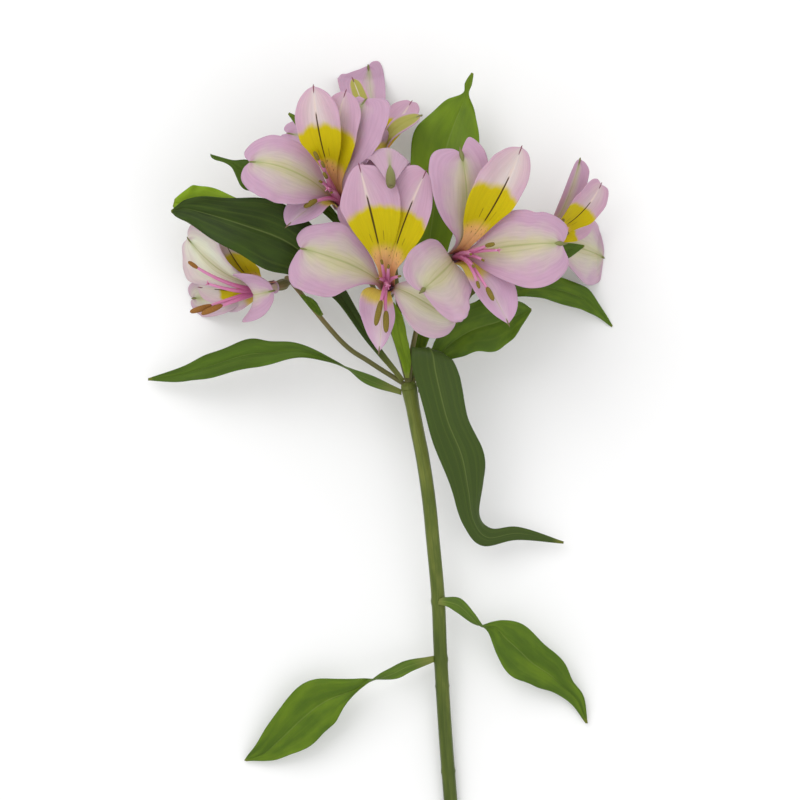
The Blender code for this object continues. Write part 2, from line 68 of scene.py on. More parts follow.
# A thin closed blade over surface(u, v), which gives the points and how far along the piece they are: the
# middle sheet moved half the thickness both ways along its normal, thinner at its edges, with a rim between.
# "inside" is 1 on the face against the normal.
def blade(surface, columns, rows, thickness, material=0, start=0.0, stop=1.0, tint=0.5, pale=0.0):
    u, v = np.meshgrid(np.linspace(start, stop, columns), np.linspace(-1, 1, rows), indexing="ij")
    middle, share = surface(u, v)
    normal = units(np.cross(np.gradient(middle, axis=0), np.gradient(middle, axis=1)))
    half = (0.5 * thickness * (1 - 0.6 * np.abs(v) ** 6))[..., None]
    count = columns * rows
    index = np.arange(count).reshape(columns, rows)
    quads = np.stack([index[:-1, :-1], index[1:, :-1], index[1:, 1:], index[:-1, 1:]], -1).reshape(-1, 4)
    border = np.concatenate([index[:, 0], index[-1, 1:], index[-2::-1, -1], index[0, -2:0:-1]])
    after = np.roll(border, -1)
    rim = np.stack([border, border + count, after + count, after], -1)
    return {
        "points": np.concatenate([middle + normal * half, middle - normal * half]).reshape(-1, 3),
        "faces": [np.concatenate([quads, quads[:, ::-1] + count, rim])],
        "along": np.tile(share.ravel(), 2),
        "across": np.tile(v.ravel(), 2),
        "inside": np.repeat([0.0, 1.0], count),
        "tint": np.full(2 * count, tint),
        "pale": np.full(2 * count, pale),
        "material": material,
    }


# A round rod: rings square to the path, each as wide as its radius times profile(angle), closed by a point
# at both ends. Each ring starts where the one before it does, so the rod doesn't twist. "across" goes once
# round from -1 to 1.
def rod(path, radii, sides, material=0, profile=None, tint=0.5, pale=0.0):
    path = np.asarray(path, float)
    tangent = units(np.gradient(path, axis=0))
    hand = np.array([0.0, 0.0, 1.0]) if abs(tangent[0, 2]) < 0.9 else np.array([1.0, 0.0, 0.0])
    hands = []
    for direction in tangent:
        hand = units(hand - hand.dot(direction) * direction)
        hands.append(hand)
    hands = np.array(hands)[:, None]
    other = np.cross(tangent, hands[:, 0])[:, None]
    angle = np.linspace(0, 2 * math.pi, sides, endpoint=False)
    shape = np.ones(sides) if profile is None else profile(angle)
    ring = (np.cos(angle) * shape)[None, :, None] * hands + (np.sin(angle) * shape)[None, :, None] * other
    points = (path[:, None] + np.asarray(radii, float)[:, None, None] * ring).reshape(-1, 3)
    rings = len(path)
    count = rings * sides
    index = np.arange(count).reshape(rings, sides)
    turned = np.roll(index, -1, axis=1)
    first, last = np.full(sides, count), np.full(sides, count + 1)
    run = np.concatenate([[0], np.cumsum(np.linalg.norm(np.diff(path, axis=0), axis=1))])
    return {
        "points": np.vstack([points, path[:1], path[-1:]]),
        "faces": [np.stack([index[:-1], turned[:-1], turned[1:], index[1:]], -1).reshape(-1, 4),
                  np.stack([first, turned[0], index[0]], -1), np.stack([last, index[-1], turned[-1]], -1)],
        "along": np.concatenate([np.repeat(run / run[-1], sides), [0.0, 1.0]]),
        "across": np.concatenate([np.tile(angle / math.pi - 1, rings), [0.0, 0.0]]),
        "inside": np.ones(count + 2),
        "tint": np.full(count + 2, tint),
        "pale": np.full(count + 2, pale),
        "material": material,
    }


# One mesh out of parts, in the place of its CAD node.
def piece(name, parts, materials, node):
    faces, slots, base = [], [], 0
    for part in parts:
        own = [face for array in part["faces"] for face in (array + base).tolist()]
        faces += own
        slots += [part["material"]] * len(own)
        base += len(part["points"])
    points = (np.vstack([part["points"] for part in parts]) - boxMiddle) * mm
    mesh = bpy.data.meshes.new(name)
    mesh.from_pydata(points.tolist(), [], faces)
    for material in materials:
        mesh.materials.append(material)
    mesh.polygons.foreach_set("material_index", slots)
    mesh.polygons.foreach_set("use_smooth", [True] * len(faces))
    for key in ("along", "across", "inside", "tint", "pale"):
        values = np.concatenate([part[key] for part in parts]).astype(np.float32)
        mesh.attributes.new(key, "FLOAT", "POINT").data.foreach_set("value", values)
    made = bpy.data.objects.new(name, mesh)
    bpy.context.scene.collection.objects.link(made)
    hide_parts(node)
    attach(made, "root")


# Shared material nodes

# An sRGB hex colour as linear red, green, blue and alpha.
def colour(code):
    shares = [int(code[k : k + 2], 16) / 255 for k in (1, 3, 5)]
    return (*(c / 12.92 if c <= 0.04045 else ((c + 0.055) / 1.055) ** 2.4 for c in shares), 1.0)


# Adds a node with its inputs, its settings and a ramp's stops, and returns one of its outputs. Inputs are a
# dictionary, or a list in the order of the sockets: a MapRange has its value, the range it comes from and the
# range it goes to. A mix of colours has "mixed" after its inputs.
def add(tree, kind, inputs=(), output=0, stops=(), **settings):
    node = tree.nodes.new("ShaderNode" + kind)
    for name, value in settings.items():
        setattr(node, name, value)
    for socket, value in inputs.items() if isinstance(inputs, dict) else enumerate(inputs):
        if isinstance(value, bpy.types.NodeSocket):
            tree.links.new(value, node.inputs[socket])
        else:
            node.inputs[socket].default_value = colour(value) if isinstance(value, str) else value
    for k, (place, code) in enumerate(stops):
        stop = node.color_ramp.elements[k] if k < 2 else node.color_ramp.elements.new(place)
        stop.position = place
        stop.color = colour(code)
    return node.outputs[output]


mixed = {"output": 2, "data_type": "RGBA"}


# Paints each mark over the base: between two places along the piece, with a fade at both, and within a half
# width of a line along it, with a soft edge. A mark without a half width goes all over the width, and a mark
# with "palely" shows less on a blade that isn't pale.
def paintMarks(tree, base, along, across, marks, pale=None):
    soft = {"interpolation_type": "SMOOTHSTEP"}
    for mark in marks:
        start, stop = mark["along"]
        fade = mark["fade"]
        half, edge = mark.get("half", 2.0), mark.get("edge", 0.5)
        opens = add(tree, "MapRange", [along, start - fade, start + fade], **soft)
        closes = add(tree, "MapRange", [along, stop - fade, stop + fade, 1.0, 0.0], **soft)
        off = add(tree, "Math", [across, mark.get("at", 0.0)], operation="SUBTRACT")
        off = add(tree, "Math", [off], operation="ABSOLUTE")
        near = add(tree, "MapRange", [off, half - edge, half + edge, mark["strength"], 0.0], **soft)
        mask = add(tree, "Math", [opens, closes], operation="MULTIPLY")
        mask = add(tree, "Math", [mask, near], operation="MULTIPLY")
        if mark.get("palely"):
            share = add(tree, "MapRange", [pale, 0.0, 0.7])
            mask = add(tree, "Math", [mask, share], operation="MULTIPLY")
        base = add(tree, "Mix", {0: mask, 6: base, 7: mark["colour"]}, **mixed)
    return base


# A new material with its finish set on its shader, its tree and the attributes that patterns follow.
def newMaterial(name, finish):
    made = bpy.data.materials.new(name)
    made.use_nodes = True
    tree = made.node_tree
    for socket, value in finish.items():
        tree.nodes["Principled BSDF"].inputs[socket].default_value = value
    keys = ("along", "across", "inside", "tint", "pale")
    read = {key: add(tree, "Attribute", output=2, attribute_name=key) for key in keys}
    read["away"] = add(tree, "Math", [read["across"]], operation="ABSOLUTE")
    return made, tree, read


# Links a material's colour and its relief to its shader.
def dress(made, base, relief=None):
    shader = made.node_tree.nodes["Principled BSDF"]
    made.node_tree.links.new(base, shader.inputs["Base Color"])
    if relief is not None:
        made.node_tree.links.new(relief, shader.inputs["Normal"])
    return made


# Noise drawn out along a piece: size is the piece's length and half width, grain a grain's, both in mm.
def streaks(tree, read, size, grain, detail=3.0):
    along = add(tree, "Math", [read["along"], size[0] / grain[0]], operation="MULTIPLY")
    across = add(tree, "Math", [read["across"], size[1] / grain[1]], operation="MULTIPLY")
    own = add(tree, "Math", [read["tint"], 61.0], operation="MULTIPLY")
    place = add(tree, "CombineXYZ", [along, across, own])
    return add(tree, "TexNoise", {"Vector": place, "Scale": 1.0, "Detail": detail})


# Petals: the living tissue of a tepal, matt and a little see-through, with fine veins along it.
# Patterns are in shares of the blade, along it from claw to tip and away from the midrib, as the shades are.

outerLook = {
    "name": "outer tepal, soft petal tissue",
    "shades": [(0.12, "#c2bd9c"), (0.45, "#bfb0ac"), (0.84, "#bb99b0")],
    "marks": [
        dict(colour="#b4ae86", along=(0.05, 0.90), fade=0.14, half=0.16, edge=0.18, strength=0.6,
             palely=True),
        dict(colour="#c2a585", along=(-1.0, 0.20), fade=0.12, strength=0.6),
        dict(colour="#8d9a55", along=(0.20, 1.02), fade=0.06, half=0.022, edge=0.022, strength=0.55,
             palely=True),
        dict(colour="#a5a770", along=(0.26, 0.80), fade=0.10, at=0.13, half=0.010, edge=0.014, strength=0.35,
             palely=True),
        dict(colour="#aeac80", along=(0.30, 0.70), fade=0.10, at=0.26, half=0.008, edge=0.014, strength=0.25,
             palely=True),
        dict(colour="#87954c", along=(0.90, 1.3), fade=0.09, half=0.20, edge=0.20, strength=0.8),
        dict(colour="#a0648c", along=(0.97, 1.3), fade=0.03, at=0.34, half=0.14, edge=0.14, strength=0.55),
    ],
    "specks": None,
}

innerLook = {
    "name": "inner tepal, soft petal tissue with honey guides",
    "shades": [(0.05, "#cabbbc"), (0.45, "#c4abb2"), (0.95, "#bf9bb0")],
    "marks": [
        dict(colour="#d8c6bd", along=(0.76, 0.95), fade=0.05, half=0.07, edge=0.06, strength=0.8),
        dict(colour="#bfae00", along=(0.34, 0.725), fade=0.030, half=1.30, edge=0.22, strength=1.0),
        dict(colour="#e6b273", along=(-1.0, 0.42), fade=0.06, strength=0.92),
        dict(colour="#b45f68", along=(-1.0, 0.12), fade=0.07, strength=0.8),
        dict(colour="#8a8a20", along=(0.30, 0.50), fade=0.03, half=0.045, edge=0.03, strength=0.4),
        dict(colour="#3a2406", along=(0.46, 0.800), fade=0.014, half=0.036, edge=0.018, strength=0.95),
        dict(colour="#4f370e", along=(0.48, 0.55), fade=0.01, at=0.30, half=0.016, edge=0.014, strength=0.6),
        dict(colour="#96566c", along=(0.975, 1.3), fade=0.015, half=0.16, edge=0.14, strength=0.6),
    ],
    "specks": (0.30, 0.48),
}

lowerLook = {
    "name": "lower tepal, soft petal tissue",
    "shades": [(0.05, "#d0bdc0"), (0.5, "#cab3c0"), (1.0, "#c29fb9")],
    "marks": [
        dict(colour="#cdbb48", along=(-1.0, 0.49), fade=0.07, strength=0.95),
        dict(colour="#c08078", along=(-1.0, 0.13), fade=0.08, strength=0.8),
        dict(colour="#b5ad85", along=(0.25, 0.96), fade=0.05, half=0.025, edge=0.022, strength=0.6),
        dict(colour="#a09058", along=(0.96, 1.3), fade=0.03, half=0.20, edge=0.15, strength=0.6),
    ],
    "specks": None,
}

petalLook = {
    "size": (50.0, 10.0),
    "veins": (9.0, 0.55),
    "clouds": (8.0, 4.0),
    "specks": (1.6, 0.8),
    "speck": "#6b4316",
    "back": "#b89ea6",
    "olive": "#a3a050",
    "white": "#e2e6d0",
    "finish": {"Roughness": 0.55, "IOR": 1.40, "Specular IOR Level": 0.22, "Subsurface Weight": 0.20,
               "Subsurface Radius": (1.0, 0.6, 0.5), "Subsurface Scale": 1.2 * mm},
}


def petalMaterial(look):
    made, tree, read = newMaterial(look["name"], petalLook["finish"])
    size = petalLook["size"]
    veins = streaks(tree, read, size, petalLook["veins"])
    clouds = streaks(tree, read, size, petalLook["clouds"])
    waver = add(tree, "MapRange", [clouds, 0.0, 1.0, -0.30, 0.30])
    away = add(tree, "Math", [read["away"], waver], operation="ADD")
    # a blade that isn't pale is pink nearly to its midrib
    shift = add(tree, "MapRange", [read["pale"], 0.0, 1.0, 0.62, 0.0])
    away = add(tree, "Math", [away, shift], operation="ADD")
    base = add(tree, "ValToRGB", [away], stops=look["shades"])
    # the outer face is a little duller
    outside = add(tree, "MapRange", [read["inside"], 0.0, 1.0, 0.30, 0.0])
    base = add(tree, "Mix", {0: outside, 6: base, 7: petalLook["back"]}, **mixed)
    # pale below 0 is the olive of a bud's outside, with a pink rim, also painted shade on a tepal that stands
    # for a shaded underside, and above 1 is nearly white
    olive = add(tree, "MapRange", [read["pale"], -1.0, 0.0, 1.0, 0.0])
    inward = add(tree, "MapRange", [read["away"], 0.72, 0.90, 1.0, 0.0])
    olive = add(tree, "Math", [olive, inward], operation="MULTIPLY")
    base = add(tree, "Mix", {0: olive, 6: base, 7: petalLook["olive"]}, **mixed)
    white = add(tree, "MapRange", [read["pale"], 1.0, 2.0])
    middle = add(tree, "MapRange", [away, 0.4, 1.0, 1.0, 0.35])
    white = add(tree, "Math", [white, middle], operation="MULTIPLY")
    base = add(tree, "Mix", {0: white, 6: base, 7: petalLook["white"]}, **mixed)
    # the marks' ends bow towards the claw at the edges, and waver with the clouds
    lift = add(tree, "MapRange", [clouds, 0.0, 1.0, -0.035, 0.035])
    bowed = add(tree, "Math", [read["away"], 2.0], operation="POWER")
    bowed = add(tree, "Math", [bowed, 0.05, lift], operation="MULTIPLY_ADD")
    place = add(tree, "Math", [read["along"], bowed], operation="ADD")
    base = paintMarks(tree, base, place, read["away"], look["marks"], read["pale"])
    if look["specks"]:
        low, high = look["specks"]
        dots = add(tree, "MapRange", [streaks(tree, read, size, petalLook["specks"], 1.0), 0.67, 0.70])
        opens = add(tree, "MapRange", [place, low, low + 0.05])
        closes = add(tree, "MapRange", [place, high - 0.05, high, 1.0, 0.0])
        dots = add(tree, "Math", [dots, opens], operation="MULTIPLY")
        dots = add(tree, "Math", [dots, closes], operation="MULTIPLY")
        base = add(tree, "Mix", {0: dots, 6: base, 7: petalLook["speck"]}, **mixed)
    fine = add(tree, "MapRange", [veins, 0.3, 0.7, 0.93, 1.05])
    base = add(tree, "Mix", {0: 1.0, 6: base, 7: fine}, **mixed, blend_type="MULTIPLY")
    relief = add(tree, "Bump", {"Height": veins, "Strength": 0.35, "Distance": 0.15 * mm})
    return dress(made, base, relief)


# The thick point of a tepal: waxy and a little shinier than its blade, green on an outer tepal and dark red
# on an inner one.
def tipMaterial():
    made, tree, read = newMaterial("tepal point, waxy tissue", {"Roughness": 0.5})
    green = add(tree, "Mix", {0: read["along"], 6: "#7d8444", 7: "#6a6434"}, **mixed)
    base = add(tree, "Mix", {0: read["pale"], 6: green, 7: "#7a3c50"}, **mixed)
    return dress(made, base)


# Leaf blade: waxy, so it has a satin sheen, with veins that run side by side from its root to its tip.
leafLook = {
    "size": (100.0, 9.0),
    "veins": (60.0, 0.9),
    "fibres": (14.0, 0.30),
    "clouds": (16.0, 5.0),
    "shades": [(0.0, "#263608"), (1.0, "#86a31c"), (0.5, "#4a6414")],
    "back": "#566a30",
    "vein": "#7d9236",
    "marks": [
        dict(colour="#8f9e56", along=(-1.0, 0.93), fade=0.05, half=0.022, edge=0.022, strength=0.24),
        dict(colour="#8a8a4a", along=(-1.0, 0.06), fade=0.05, strength=0.5),
        dict(colour="#7a7a30", along=(0.985, 1.2), fade=0.01, strength=0.6),
    ],
    "finish": {"Roughness": 0.42, "IOR": 1.42, "Specular IOR Level": 0.22, "Subsurface Weight": 0.10,
               "Subsurface Radius": (0.4, 1.0, 0.15), "Subsurface Scale": 0.8 * mm},
}


def leafMaterial():
    made, tree, read = newMaterial("leaf blade, waxy green tissue", leafLook["finish"])
    veins = streaks(tree, read, leafLook["size"], leafLook["veins"], 2.0)
    fibres = streaks(tree, read, leafLook["size"], leafLook["fibres"], 2.0)
    clouds = streaks(tree, read, leafLook["size"], leafLook["clouds"])
    tone = add(tree, "MapRange", [clouds, 0.3, 0.7, -0.10, 0.10])
    tone = add(tree, "Math", [read["pale"], tone], operation="ADD", use_clamp=True)
    base = add(tree, "ValToRGB", [tone], stops=leafLook["shades"])
    under = add(tree, "MapRange", [read["inside"], 0.0, 1.0, 0.35, 0.0])
    base = add(tree, "Mix", {0: under, 6: base, 7: leafLook["back"]}, **mixed)
    light = add(tree, "MapRange", [veins, 0.50, 0.75, 0.0, 0.10])
    base = add(tree, "Mix", {0: light, 6: base, 7: leafLook["vein"]}, **mixed)
    base = paintMarks(tree, base, read["along"], read["away"], leafLook["marks"])
    ridges = add(tree, "Math", [veins, 0.3, fibres], operation="MULTIPLY_ADD")
    relief = add(tree, "Bump", {"Height": ridges, "Strength": 0.5, "Distance": 0.2 * mm})
    return dress(made, base, relief)


# Skin of the stem, the rays and the ovaries: waxy with a soft sheen, with fibres along it and browner and
# paler stretches. The shades are its dark, its bright and one between. Each piece is painted paler towards
# its
# upper end and darker towards its lower: painted light, which lifts the top of the stem out of the head's
# shade.
skinLook = {
    "fibres": (12.0, 0.35),
    "clouds": (22.0, 4.0),
    "places": (0.30, 0.72, 0.5),
    "finish": {"Roughness": 0.45, "IOR": 1.42, "Specular IOR Level": 0.35},
}


def skinMaterial(name, shades, length, radius):
    made, tree, read = newMaterial(name, skinLook["finish"])
    size = (length, 3.14 * radius)
    fibres = streaks(tree, read, size, skinLook["fibres"])
    clouds = streaks(tree, read, size, skinLook["clouds"])
    # painted light: paler towards the upper end of each piece, darker towards its lower end
    tone = add(tree, "Math", [read["along"], 0.30, -0.15], operation="MULTIPLY_ADD")
    tone = add(tree, "Math", [clouds, tone], operation="ADD")
    base = add(tree, "ValToRGB", [tone], stops=zip(skinLook["places"], shades))
    fine = add(tree, "MapRange", [fibres, 0.3, 0.7, 0.89, 1.07])
    base = add(tree, "Mix", {0: 1.0, 6: base, 7: fine}, **mixed, blend_type="MULTIPLY")
    relief = add(tree, "Bump", {"Height": fibres, "Strength": 0.5, "Distance": 0.25 * mm})
    return dress(made, base, relief)


# Filament: smooth and moist, so it glistens, deep pink at its root and lighter towards the anther.
def filamentMaterial():
    made, tree, read = newMaterial("filament, smooth pink tissue", {
        "Roughness": 0.30, "Subsurface Weight": 0.15, "Subsurface Radius": (1.0, 0.4, 0.6),
        "Subsurface Scale": 0.8 * mm})
    base = add(tree, "Mix", {0: read["along"], 6: "#b03c72", 7: "#d48bb4"}, **mixed)
    return dress(made, base)


# Anther: a dusty skin with pollen grains, so it is matt and speckled. A real grain is too fine to show and is
# drawn 0.35 mm wide.
def antherMaterial(name, light, dark):
    made, tree, read = newMaterial(name, {"Roughness": 0.85})
    place = add(tree, "TexCoord", output=3)
    grains = add(tree, "TexNoise", {"Vector": place, "Scale": 1 / (0.35 * mm), "Detail": 2.0})
    base = add(tree, "Mix", {0: grains, 6: dark, 7: light}, **mixed)
    relief = add(tree, "Bump", {"Height": grains, "Strength": 0.8, "Distance": 0.2 * mm})
    return dress(made, base, relief)


# Blooms
# Each bloom has its base at the top of the ovary and the way that its mouth faces. A tepal has its tip, its
# half width, the lean of its tip in degrees and how pale it is: 0 is pink all over, 1 pale with a pink rim, 2
# nearly white and -1 a bud's olive, which is also painted shade where a tepal stands for a shaded underside.
# Some also have how far the midrib sways sideways (aside), times the usual cup, the roll of the midrib before
# its tip, and the size and length of their thick point. Edges run from the claw to the tip, left and right of
# who looks out along the tepal: each pair is hundredths of the midrib's length, and millimetres from the
# midrib. A stamen is its anther's middle and the anther's length.

blooms = {}

blooms["upper_left"] = dict(
    base=(-28.1, 76.4, 38), facing=(-0.2, 0.42, 0.88),
    outer=[dict(
        tip=(-66, 94.3, 60), half=13.5, lean=-15, pale=0.85,
        left=[(22, 3.2), (37, 9.2), (51, 14.5), (63, 17.2), (77, 18.2), (92, 14.5), (104, 8.4), (105, 3.1)],
        right=[(24, 3.5), (40, 8.2), (53, 11.3), (69, 12.6), (84, 12.9), (98, 10), (107, 5.7), (106, 2.6)],
    ), dict(
        tip=(-17.6, 120.2, 64), half=13.0, lean=-10, pale=0.45,
        left=[(25, 2.2), (44, 3.4), (63, 4.2), (78, 4.6), (90, 4.8), (99, 3.8)],
        right=[(21, 3.4), (35, 8.2), (50, 13.4), (71, 16.4), (88, 15.6), (101, 12.4), (107, 7.4), (104, 2.4)],
    ), dict(
        tip=(-12.6, 65.5, 49), half=8.5, lean=-10, pale=0.3,
    )],
    inner=[dict(
        tip=(-39.4, 125.5, 70), half=8.5, lean=5, pale=1.05,
        left=[(25, 2.2), (40, 3.2), (53, 5.8), (62, 8.2), (72, 8.8), (81, 8.7), (89, 7.1), (94, 5.2),
              (98, 2.8)],
        right=[(25, 2.4), (39, 4.4), (56, 8.3), (71, 10), (82, 9.8), (92, 6.8), (97, 3.6)],
    ), dict(
        # painted light: pale is raised on this tepal, which lies in the shade of the tepals round it, so that
        # it shows lighter
        tip=(-25.9, 123.6, 67), half=7.5, lean=10, pale=0.6,
        left=[(25, 2), (40, 3), (57, 4.4), (71, 5.6), (83, 6.2), (93, 5.2), (98, 2.6)],
        right=[(25, 2.8), (37, 5), (57, 9.4), (72, 10.8), (86, 9.7), (96, 5.8)],
    )],
    lower=[dict(
        tip=(-50.6, 67.7, 56), half=7.5, lean=-5, pale=0.1,
        left=[(30, 2.6), (48, 4.4), (64, 6.2), (80, 5.1), (92, 2.3)],
        right=[(30, 2.6), (58, 4.4), (73, 5.9), (85, 7.2), (93, 5.8), (98, 3)],
    )],
    stamens=[(-38.2, 96.6, 67, 4.6), (-35.5, 93, 69, 3.6), (-34.5, 88.5, 66, 4.2), (-40.8, 77, 60, 7),
             (-32, 81.5, 63, 2), (-36.5, 86, 63, 2.2)],
    style=(-33.5, 83, 67), ray=[(-6.7, 24.4, 34), (-19.3, 52.9, 31)],
)

blooms["centre"] = dict(
    base=(-8.4, 41.2, 44), facing=(-0.05, 0.3, 0.95),
    outer=[dict(
        tip=(-44.7, 58.2, 60), half=14.5, lean=-15, pale=0.95,
        left=[(20, 2.6), (36, 5.8), (50, 11.3), (61, 17.2), (76, 19.6), (90, 18.4), (100, 15), (105, 9.5),
              (103, 2.6)],
        right=[(21, 2.4), (35, 6.2), (60, 12.4), (73, 14.9), (88, 12.6), (103, 9), (108, 4.7), (104, 1.5)],
    ), dict(
        tip=(20, 27.6, 58), half=12.5, lean=-15, pale=1.3,
        left=[(28, 3.6), (50, 7.4), (71, 8.6), (88, 7.6), (101, 5), (105, 1.8)],
        right=[(22, 2.4), (39, 6.2), (61, 11.6), (76, 13.2), (90, 11.4), (99, 7), (101, 2.6)],
    ), dict(
        tip=(-7.1, 83.5, 86), half=9.0, lean=168, pale=0.0, aside=-11.0, cup=4.4, roll=0.98, point=(2.1, 0.6),
        left=[(30, 3.4), (50, 6.2), (66, 9.4), (80, 9.8), (90, 7.4), (97, 3.2)],
        right=[(30, 3.4), (50, 6.2), (66, 9.4), (80, 9.8), (90, 7.4), (97, 3.2)],
    )],
    inner=[dict(
        tip=(-20.4, 92.5, 78), half=11.0, lean=10, pale=0.2,
        left=[(25, 2.6), (42, 4.8), (60, 9), (71, 11.2), (77, 12), (83, 10.6), (89, 8.2), (95, 5.4),
              (99, 2.2)],
        right=[(20, 2.4), (34, 4), (48, 7.7), (63, 11.4), (75, 13), (86, 12.2), (96, 7.1)],
    ), dict(
        tip=(7.4, 89.7, 78), half=10.0, lean=10, pale=0.2,
        left=[(22, 2.4), (35, 3.2), (50, 5.2), (65, 7.4), (78, 9), (89, 9.6), (97, 8.4), (101, 4.6)],
        right=[(24, 2.6), (38, 5.2), (52, 8), (64, 9.8), (76, 9.6), (85, 7.9), (93, 4.9), (98, 2.3)],
    )],
    lower=[dict(
        tip=(-12.2, 15.1, 57), half=7.5, lean=-20, pale=0.7,
        left=[(27, 2.2), (45, 3.8), (62, 5.3), (74, 4.9), (89, 2.9)],
        right=[(15, 2.6), (25, 6.2), (37, 9.2), (50, 10), (64, 9.1), (83, 5.7), (94, 2.3)],
    )],
    stamens=[(-12.4, 31.2, 67, 11.6), (-9.2, 27.6, 67, 9.6), (-11, 52.5, 66, 2.6), (-8.2, 50.5, 67, 2.2),
             (-12.6, 45.5, 66, 1.8), (-3.6, 46.5, 65, 1.8)],
    style=(-8.4, 42.5, 68), ray=[(-4.2, 18.1, 35.5), (-7.1, 30.7, 35)],
)

blooms["right"] = dict(
    base=(18.5, 54.2, 47), facing=(0.32, 0.15, 0.93),
    outer=[dict(
        tip=(21.9, 97.4, 76), half=15.0, lean=-5, pale=0.75, point=(1.1, 2.6),
        left=[(20, 2.4), (31, 3.8), (53, 11.8), (69, 15.8), (84, 16.6), (94, 15.5), (102, 13), (105, 9.2),
              (104, 3.2)],
        right=[(32, 2), (50, 2.8), (60, 3.6), (70, 5.8), (76, 8.8), (83, 10.5), (96, 10.5), (105, 8.7),
               (111, 5.4), (106, 2.2)],
    ), dict(
        tip=(63.9, 60, 70), half=15.5, lean=-15, pale=0.85, point=(1.1, 2.6),
        left=[(20, 2.8), (30, 4.7), (41, 9.1), (57, 13.7), (71, 14.2), (79, 12.9), (86, 13), (98, 10.7),
              (106, 6.8), (104, 2.5)],
        right=[(22, 4), (33, 8), (47, 12.8), (58, 16.2), (68, 18.6), (79, 19), (90, 16.6), (101, 11.6),
               (105, 7.2), (102, 2.6)],
    ), dict(
        tip=(5.7, 40.1, 83), half=16.5, lean=30, pale=1.1, point=(1.1, 2.6),
        left=[(20, 6), (37, 11.9), (61, 15.7), (73, 18.7), (86, 20.2), (96, 17.6), (101, 10.6), (101, 3.6)],
        right=[(20, 5), (35, 10.5), (53, 14.3), (76, 15.8), (93, 14.6), (106, 11.8), (110, 7), (106, 2.3)],
    )],
    inner=[dict(
        tip=(46.9, 99.7, 80), half=8.5, lean=5, pale=1.15,
        left=[(28, 4.2), (44, 9.2), (59, 12.6), (73, 13), (86, 11), (92, 8.3), (97, 4.8)],
        right=[(24, 2.2), (41, 3.6), (52, 5.2), (62, 7.2), (75, 7.8), (84, 7.8), (92, 6.3), (98, 3.6)],
    ), dict(
        tip=(25, 96, 68), half=7.0, lean=0, pale=0.1,
    )],
    lower=[dict(
        tip=(41.7, 26.6, 68), half=9.5, lean=-10, pale=0.25,
        left=[(25, 3.4), (45, 6.4), (59, 9.1), (70, 10), (84, 8.1), (94, 4.8)],
        right=[(25, 2.6), (39, 4.4), (58, 6.4), (73, 6.2), (85, 4.4), (93, 2.3)],
    )],
    stamens=[(29, 42.8, 75, 3.6), (34, 39, 75, 6.6), (33.9, 59.2, 80, 5), (27, 50.5, 72, 1.8),
             (31, 53, 74, 1.8), (26, 55.5, 73, 1.8)],
    style=(37, 57, 80), ray=[(1.7, 16, 37), (7.1, 37, 37)],
)

blooms["low_left"] = dict(
    base=(-56, 43.3, 17), facing=(-0.7, -0.22, 0.68),
    outer=[dict(
        tip=(-93, 63.4, 31), half=12.5, lean=10, pale=1.7,
        left=[(27, 4), (43, 7.2), (58, 11), (69, 13.8), (79, 13.2), (90, 9.4), (99, 5)],
        right=[(35, 4.6), (56, 7.4), (70, 11), (85, 14.6), (98, 12.6), (106, 8.1), (105, 2.8)],
    ), dict(
        tip=(-56.5, 41, 40.5), half=9.5, lean=-50, pale=0.55, cup=3.2,
        left=[(22, 3), (36, 6.4), (52, 9.6), (70, 10.4), (86, 8), (97, 4)],
        right=[(22, 3), (38, 6.2), (55, 9.6), (72, 10.4), (86, 8.6), (97, 4.4)],
    ), dict(
        tip=(-92, 38.5, -6), half=8.0, lean=-10, pale=1.3,
    )],
    inner=[dict(
        tip=(-80, 67, 34), half=9.5, lean=15, pale=1.0, cup=0.4,
        left=[(25, 3), (40, 6.6), (55, 9.6), (70, 10), (85, 8.4), (96, 4)],
        right=[(22, 3.6), (36, 8), (50, 12), (66, 13), (82, 10), (95, 4.6)],
    ), dict(
        tip=(-89, 43, 12), half=6.0, lean=10, pale=1.3,
    )],
    lower=[dict(
        tip=(-80.5, 35, 7), half=5.0, lean=0, pale=1.3,
    )],
    stamens=[(-90.7, 52, 35, 5), (-87.5, 33.6, 29, 10), (-82.8, 33.2, 32, 10)],
    style=(-84, 44, 32), ray=[(-16, 10.9, 31), (-28.6, 20.2, 25)], brown=True,
)

blooms["low_right"] = dict(
    base=(52, 62.2, 14), facing=(0.65, 0.06, 0.76),
    outer=[dict(
        tip=(72.8, 97, 26), half=7.0, lean=10, pale=0.45,
        left=[(33, 2.4), (53, 3.9), (71, 3.8), (88, 2.8), (97, 1.7)],
        right=[(39, 4.4), (59, 6), (77, 6.7), (91, 6.1), (98, 3.4)],
    ), dict(
        tip=(83.7, 55.9, -7), half=14.0, lean=-35, pale=1.15,
        left=[(20, 4.6), (31, 8), (40, 11.4), (52, 13.4), (68, 12.5), (85, 8.6), (99, 3.2)],
        right=[(20, 4), (34, 7), (45, 11.4), (56, 15.2), (72, 14.6), (90, 10.4), (98, 4.3)],
    ), dict(
        tip=(29, 68, 36), half=8.0, lean=10, pale=0.3,
    )],
    inner=[dict(
        tip=(81.5, 86.2, 32), half=7.5, lean=10, pale=0.8,
        left=[(28, 2.6), (46, 5), (67, 8.5), (84, 8.6), (97, 6.2), (102, 3)],
        right=[(28, 2.8), (49, 4.6), (62, 6.4), (77, 6.8), (88, 6.9), (99, 4.6)],
    ), dict(
        tip=(78, 71, 14), half=5.0, lean=0, pale=0.1,
    )],
    lower=[dict(
        tip=(58, 46, 34), half=6.0, lean=10, pale=0.2,
    )],
    stamens=[(65, 70, 36, 4), (66.5, 65, 37, 4), (65, 60, 36, 4)],
    style=(66, 67, 42), ray=[(13.4, 20.2, 31), (28, 42, 22)],
)

